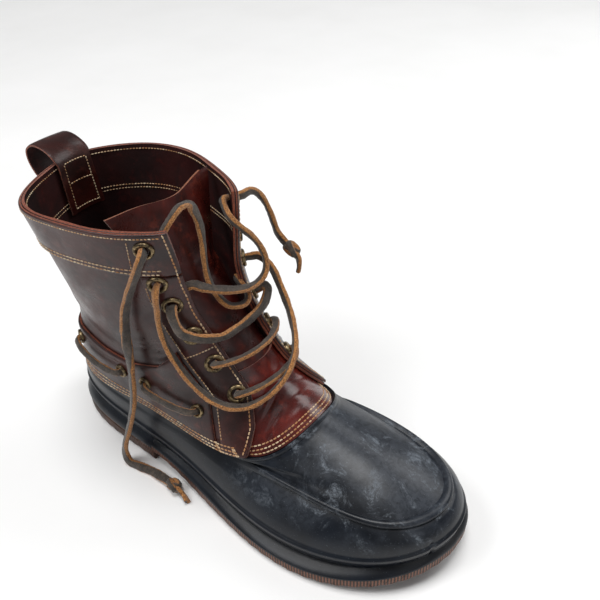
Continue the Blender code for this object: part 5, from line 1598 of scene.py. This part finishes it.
@dataclass
class Eyelets:
    """Rolled brass rings: a rounded section turned round the bore, with a dark cup in it as painted shadow of the
    bore.
    """

    surface: LastSurface
    finish: Finishes
    hide: Hide
    radius: float = 0.0058
    side_radius: float = 0.0048
    bore: float = 0.54
    height: float = 0.0015

    def build_one(self, name: str, node: str, seat: tuple[float, float], mirror: bool, radius: float) -> None:
        """Makes one eyelet.

        Args:
            name: the piece's name.
            node: the CAD node.
            seat: turn on the outer side, and climb.
            mirror: whether it is on the inner side.
            radius: outer radius in metres.
        """
        turn, climb = np.array([2 - seat[0] if mirror else seat[0]]), np.array([seat[1]])
        around, upward = self.surface.tangents(turn, climb)
        solve = np.linalg.pinv(np.stack([around[0], upward[0]], axis=1))
        a = unit(around[0])
        out = unit(np.cross(around[0], upward[0]))
        b = np.cross(out, a)
        bore = self.bore * radius
        roll = np.linspace(-0.35, math.pi + 0.1, 12)
        middle, half = (radius + bore) / 2, (radius - bore) / 2
        reach = np.concatenate([[radius * 0.98], middle + half * np.cos(roll), [bore * 0.97, bore * 0.95, bore * 0.5]])
        rise = np.concatenate([[-0.0004], self.height * np.clip(np.sin(roll), -0.3, 1), [-0.0002, -0.0009, -0.0010]])
        angle = np.linspace(0, 2 * math.pi, 28, endpoint=False)
        shift = (np.cos(angle)[:, None] * a + np.sin(angle)[:, None] * b)[:, None, :] * reach[None, :, None]
        step = shift @ solve.T
        base = self.sizes_base() + self.hide.lift(turn, climb)[0]
        grid = self.surface.offset(turn + step[..., 0], climb + step[..., 1], base + rise[None, :])
        columns, count = grid.shape[:2]
        quads = lattice(columns, count)
        join = np.arange(count - 1)
        last = (columns - 1) * count
        quads = np.concatenate([quads, np.stack([last + join, last + join + 1, join + 1, join], axis=1)])
        # The bore's inner columns take the painted shadow finish.
        kinds = (quads % count).min(axis=1) >= count - 3
        floor = list(range(count - 1, columns * count, count))
        foot = list(range(0, columns * count, count))[::-1]
        make_piece(name, grid, quads, [self.finish.brass, self.finish.dark], [node],
                   kinds=kinds.astype(int), caps=[floor, foot], sharp=60)

    def sizes_base(self) -> float:
        """Height of an eyelet's foot over the surface."""
        return self.surface.sizes.trim_top + self.surface.sizes.gap

    def build(self) -> None:
        """Makes all eyelets of both sides."""
        for side, mirror in (("lateral", False), ("medial", True)):
            for number, seat in enumerate(EYELETS, 1):
                self.build_one(f"eyelet_ring_{side}_{number}", f"eyelet_{side}_{number}", seat, mirror, self.radius)
            for number, seat in enumerate(SIDE_EYELETS, 1):
                self.build_one(f"side_eyelet_ring_{side}_{number}", f"side_eyelet_{side}_{number}", seat, mirror,
                               self.side_radius)


# Towards the photograph's camera: the side from which a lace's grain side is turned
VIEW_SIDE = np.array([0.505, -0.618, 0.602])
# How far a lace that lies on the floor stays over it
FLOOR_GAP = 0.0002


@dataclass
class Laces:
    """Leather laces: bars on the leather, loops over the throat, two free ends with knots."""

    surface: LastSurface
    finish: Finishes
    hide: Hide
    width: float = 0.0062
    thickness: float = 0.0037
    bar_width: float = 0.0047
    bar_thickness: float = 0.0032
    side_width: float = 0.0044
    side_thickness: float = 0.0026
    solid_thickness: float = 0.0026
    spacing: float = 0.0009
    bar_spacing: float = 0.0007
    knot_reach: tuple[float, float, float] = (0.0034, 0.00105, 0.00105)
    knot_section: tuple[float, float] = (0.0042, 0.0031)

    def grain(self, rows: int, count: int) -> Array:
        """1 on the section's grain side, falling to 0 at its rims.

        Args:
            rows: sections along the lace.
            count: points of one section.

        Returns:
            One value for each point.
        """
        angle = np.linspace(0, 2 * math.pi, count, endpoint=False)
        return np.tile(smooth_step(np.cos(angle), 0.25, 0.75), rows)

    def dress(self, name: str, path: Array, face: Array, width: float, thickness: float, nodes: Sequence[str],
              closed: bool = False) -> bpy.types.Object:
        """One lace along a path, with uneven suede sides.

        Args:
            name: the piece's name.
            path: its points.
            face: directions of the grain side.
            width: across, in metres.
            thickness: through, in metres.
            nodes: CAD nodes that it stands for.
            closed: whether its path is a ring.

        Returns:
            The new object.
        """
        count = 16
        random = np.random.default_rng(len(path) + 3)
        section = ribbon_section(width, thickness, count)[None] * np.ones((len(path), 1, 1))
        section = section * (1 + random.normal(0, 0.030, (len(path), count, 1)))
        slow = np.sin(np.arange(len(path)) * 0.35)[:, None, None]
        section = section * (1 + 0.05 * slow)
        points, quads = swept(path, face, section, closed)
        # A lace on the floor is pressed flat there and doesn't sink into it
        points[..., 2] = np.maximum(points[..., 2], FLOOR_GAP)
        caps = [] if closed else caps_of(len(path), count)
        return make_piece(name, points, quads, [self.finish.lace], nodes, caps=caps,
                          marks={"grain": self.grain(len(path), count)}, sharp=75)

    def facing(self, path: Array, turns: Sequence[tuple[float, float]]) -> Array:
        """Directions of the grain side.

        Args:
            path: the lace's points.
            turns: share of the path, and degrees that the side is turned about it there.

        Returns:
            One direction for each point.
        """
        along = unit(np.gradient(path, axis=0))
        ahead = unit(VIEW_SIDE - (along @ VIEW_SIDE)[:, None] * along)
        share = np.linspace(0, 1, len(path))
        angle = np.radians(table(share, turns))[:, None]
        return np.cos(angle) * ahead + np.sin(angle) * np.cross(along, ahead)

    def build_bar(self, node: str, first: tuple[float, float], second: tuple[float, float], sag: float,
                  width: float, thickness: float, tilt: float) -> None:
        """A bar between two eyelets: up out of one bore, over the leather, down into the other.

        Args:
            node: the CAD node.
            first: turn and climb of its start.
            second: turn and climb of its end.
            sag: how far its middle hangs, in rows.
            width: across, in metres.
            thickness: through, in metres.
            tilt: degrees that the grain side leans.
        """
        start, end = np.array(first), np.array(second)
        ends = self.surface.point(np.array([start[0], end[0]]), np.array([start[1], end[1]]))
        reach = np.linalg.norm(ends[1] - ends[0])
        ways, rise = (np.array(v) for v in zip(*BAR_RISE))
        between = np.linspace(ways[-1], reach - ways[-1], 9)[1:-1]
        marks = np.concatenate([ways, between, reach - ways[::-1]]) / reach
        heights = np.concatenate([rise, rise[-1] + 0 * between, rise[::-1]])
        place = start * (1 - marks[:, None]) + end * marks[:, None]
        place[:, 1] -= sag * 4 * marks * (1 - marks)
        base = self.surface.sizes.trim_top + self.surface.sizes.gap
        knots = self.surface.offset(place[:, 0], place[:, 1], base + heights + (thickness - self.solid_thickness) / 2)
        path = smooth_route(knots, self.bar_spacing)
        share = np.linspace(0, 1, len(path))
        place = start * (1 - share[:, None]) + end * share[:, None]
        out = self.surface.normal(place[:, 0], place[:, 1])
        chord = unit(path[-1] - path[0])
        bend = unit(np.gradient(path, axis=0))
        face = np.cross(bend, np.cross(out, chord))
        lean = math.radians(tilt)
        face = math.cos(lean) * face + math.sin(lean) * np.cross(bend, face)
        self.dress(node + "_leather", path, face, width, thickness, [node])

    def knot(self, name: str, centre: Sequence[float], ahead: Array, node: str) -> bpy.types.Object:
        """A tied knot: the lace along a trefoil, long in the lace's direction.

        Args:
            name: the piece's name.
            centre: its middle.
            ahead: the lace's direction.
            node: the CAD node.

        Returns:
            The new object.
        """
        u = np.linspace(0, 2 * math.pi, 90, endpoint=False)
        ring = np.stack([np.sin(3 * u) * 1.15, np.sin(u) + 2 * np.sin(2 * u), np.cos(u) - 2 * np.cos(2 * u)], axis=1)
        ring *= self.knot_reach
        forward = unit(np.asarray(ahead, float))
        side = unit(np.cross(forward, [0.13, 0.21, 0.97]))
        up = np.cross(side, forward)
        path = np.asarray(centre) + ring @ np.stack([forward, side, up])
        face = path - np.asarray(centre)
        return self.dress(name, path, face, *self.knot_section, [node], closed=True)

    def free_end(self, label: str, route: Sequence[Sequence[float]], knot: Sequence[float],
                 tail: Sequence[Sequence[float]], turns: Sequence[tuple[float, float]]) -> None:
        """A lace's free end with its knot and tail.

        Args:
            label: its side.
            route: points from the eyelet to the knot.
            knot: the knot's middle.
            tail: points of the stub behind the knot.
            turns: share of the path, and degrees that its grain side is turned.
        """
        path = smooth_route((*route, 0.45 * np.array(route[-1]) + 0.55 * np.array(knot)), self.spacing)
        lace = self.dress(f"lace_free_{label}", path, self.facing(path, turns), self.width, self.thickness,
                          [f"lace_end_{label}"])
        ahead = np.array(tail[0]) - np.array(route[-1])
        tied = self.knot(f"lace_tie_{label}", knot, ahead, f"lace_knot_{label}")
        rest = smooth_route((np.array(knot) + 0.3 * (np.array(tail[0]) - np.array(knot)), *tail), self.spacing)
        stub = self.dress(f"lace_stub_{label}", rest, self.facing(rest, ((0, 60), (1, 90))), self.width * 0.95,
                          self.thickness * 0.9, [f"lace_tail_{label}"])
        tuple(route[0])

    def loop(self, label: str, route: Sequence[Sequence[float]], turns: Sequence[tuple[float, float]]) -> None:
        """A slack loop over the throat that goes back into the boot's laces.

        Args:
            label: its name.
            route: its points, from the eyelet that it comes out of.
            turns: share of the path, and degrees that its grain side is turned.
        """
        path = smooth_route(route, self.spacing)
        lace = self.dress(f"lace_slack_{label}", path, self.facing(path, turns), self.width, self.thickness,
                          [f"lace_loop_{label}"])
        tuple(route[0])

    def build(self) -> None:
        """Makes cords first, then the bars."""
        self.free_end("lateral", LATERAL_END, LATERAL_KNOT, LATERAL_TAIL,
                      ((0, -70), (0.10, -78), (0.28, -60), (0.42, 55), (0.75, 62), (0.85, 20), (1, -40)))
        self.free_end("medial", MEDIAL_END, MEDIAL_KNOT, MEDIAL_TAIL, ((0, 60), (0.5, 80), (1, 60)))
        self.loop("low", LOW_LOOP,
                  ((0, -120), (0.12, -110), (0.24, -75), (0.45, -70), (0.62, -90), (0.80, -60), (1, -60)))
        self.loop("middle", MIDDLE_LOOP, ((0, 10), (0.2, 30), (0.45, 60), (0.8, 40), (1, 20)))
        self.loop("throat", THROAT_LOOP, ((0, -60), (0.25, -50), (0.5, -95), (0.8, -70), (1, -60)))
        self.loop("hanging", HANGING_LOOP, ((0, 70), (0.4, 80), (0.7, 50), (1, 40)))
        for number, sag, tilt in ((5, 0.10, -75.0), (6, 0.06, -62.0)):
            turn, climb = EYELETS[number - 1]
            self.build_bar(f"lace_bar_{number}", (turn, climb), (2 - turn, climb), sag, self.bar_width,
                           self.bar_thickness, tilt)
        for label, mirror in (("lateral", False), ("medial", True)):
            for where, k in (("rear", 0), ("front", 2)):
                (t0, c0), (t1, c1) = SIDE_EYELETS[k], SIDE_EYELETS[k + 1]
                first, second = ((2 - t0, c0), (2 - t1, c1)) if mirror else ((t0, c0), (t1, c1))
                self.build_bar(f"side_lace_{label}_{where}", first, second, 0.07, self.side_width,
                               self.side_thickness, 28.0 if mirror else -28.0)


def main() -> None:
    """Builds the studio and the boot, sub-assembly by sub-assembly."""
    logging.basicConfig(level=logging.INFO, format="%(name)s %(message)s")
    Studio().build()
    surface = LastSurface(SIZES)
    finish = Finishes()
    shaft = Shaft(surface, finish)
    Laces(surface, finish, shaft.quarter).build()
    shaft.build()
    RubberShell(surface, finish).build()
    Outsole(surface, finish).build()
    Footbed(surface, finish).build()
    Eyelets(surface, finish, shaft.quarter).build()


if __name__ == "__main__":
    main()
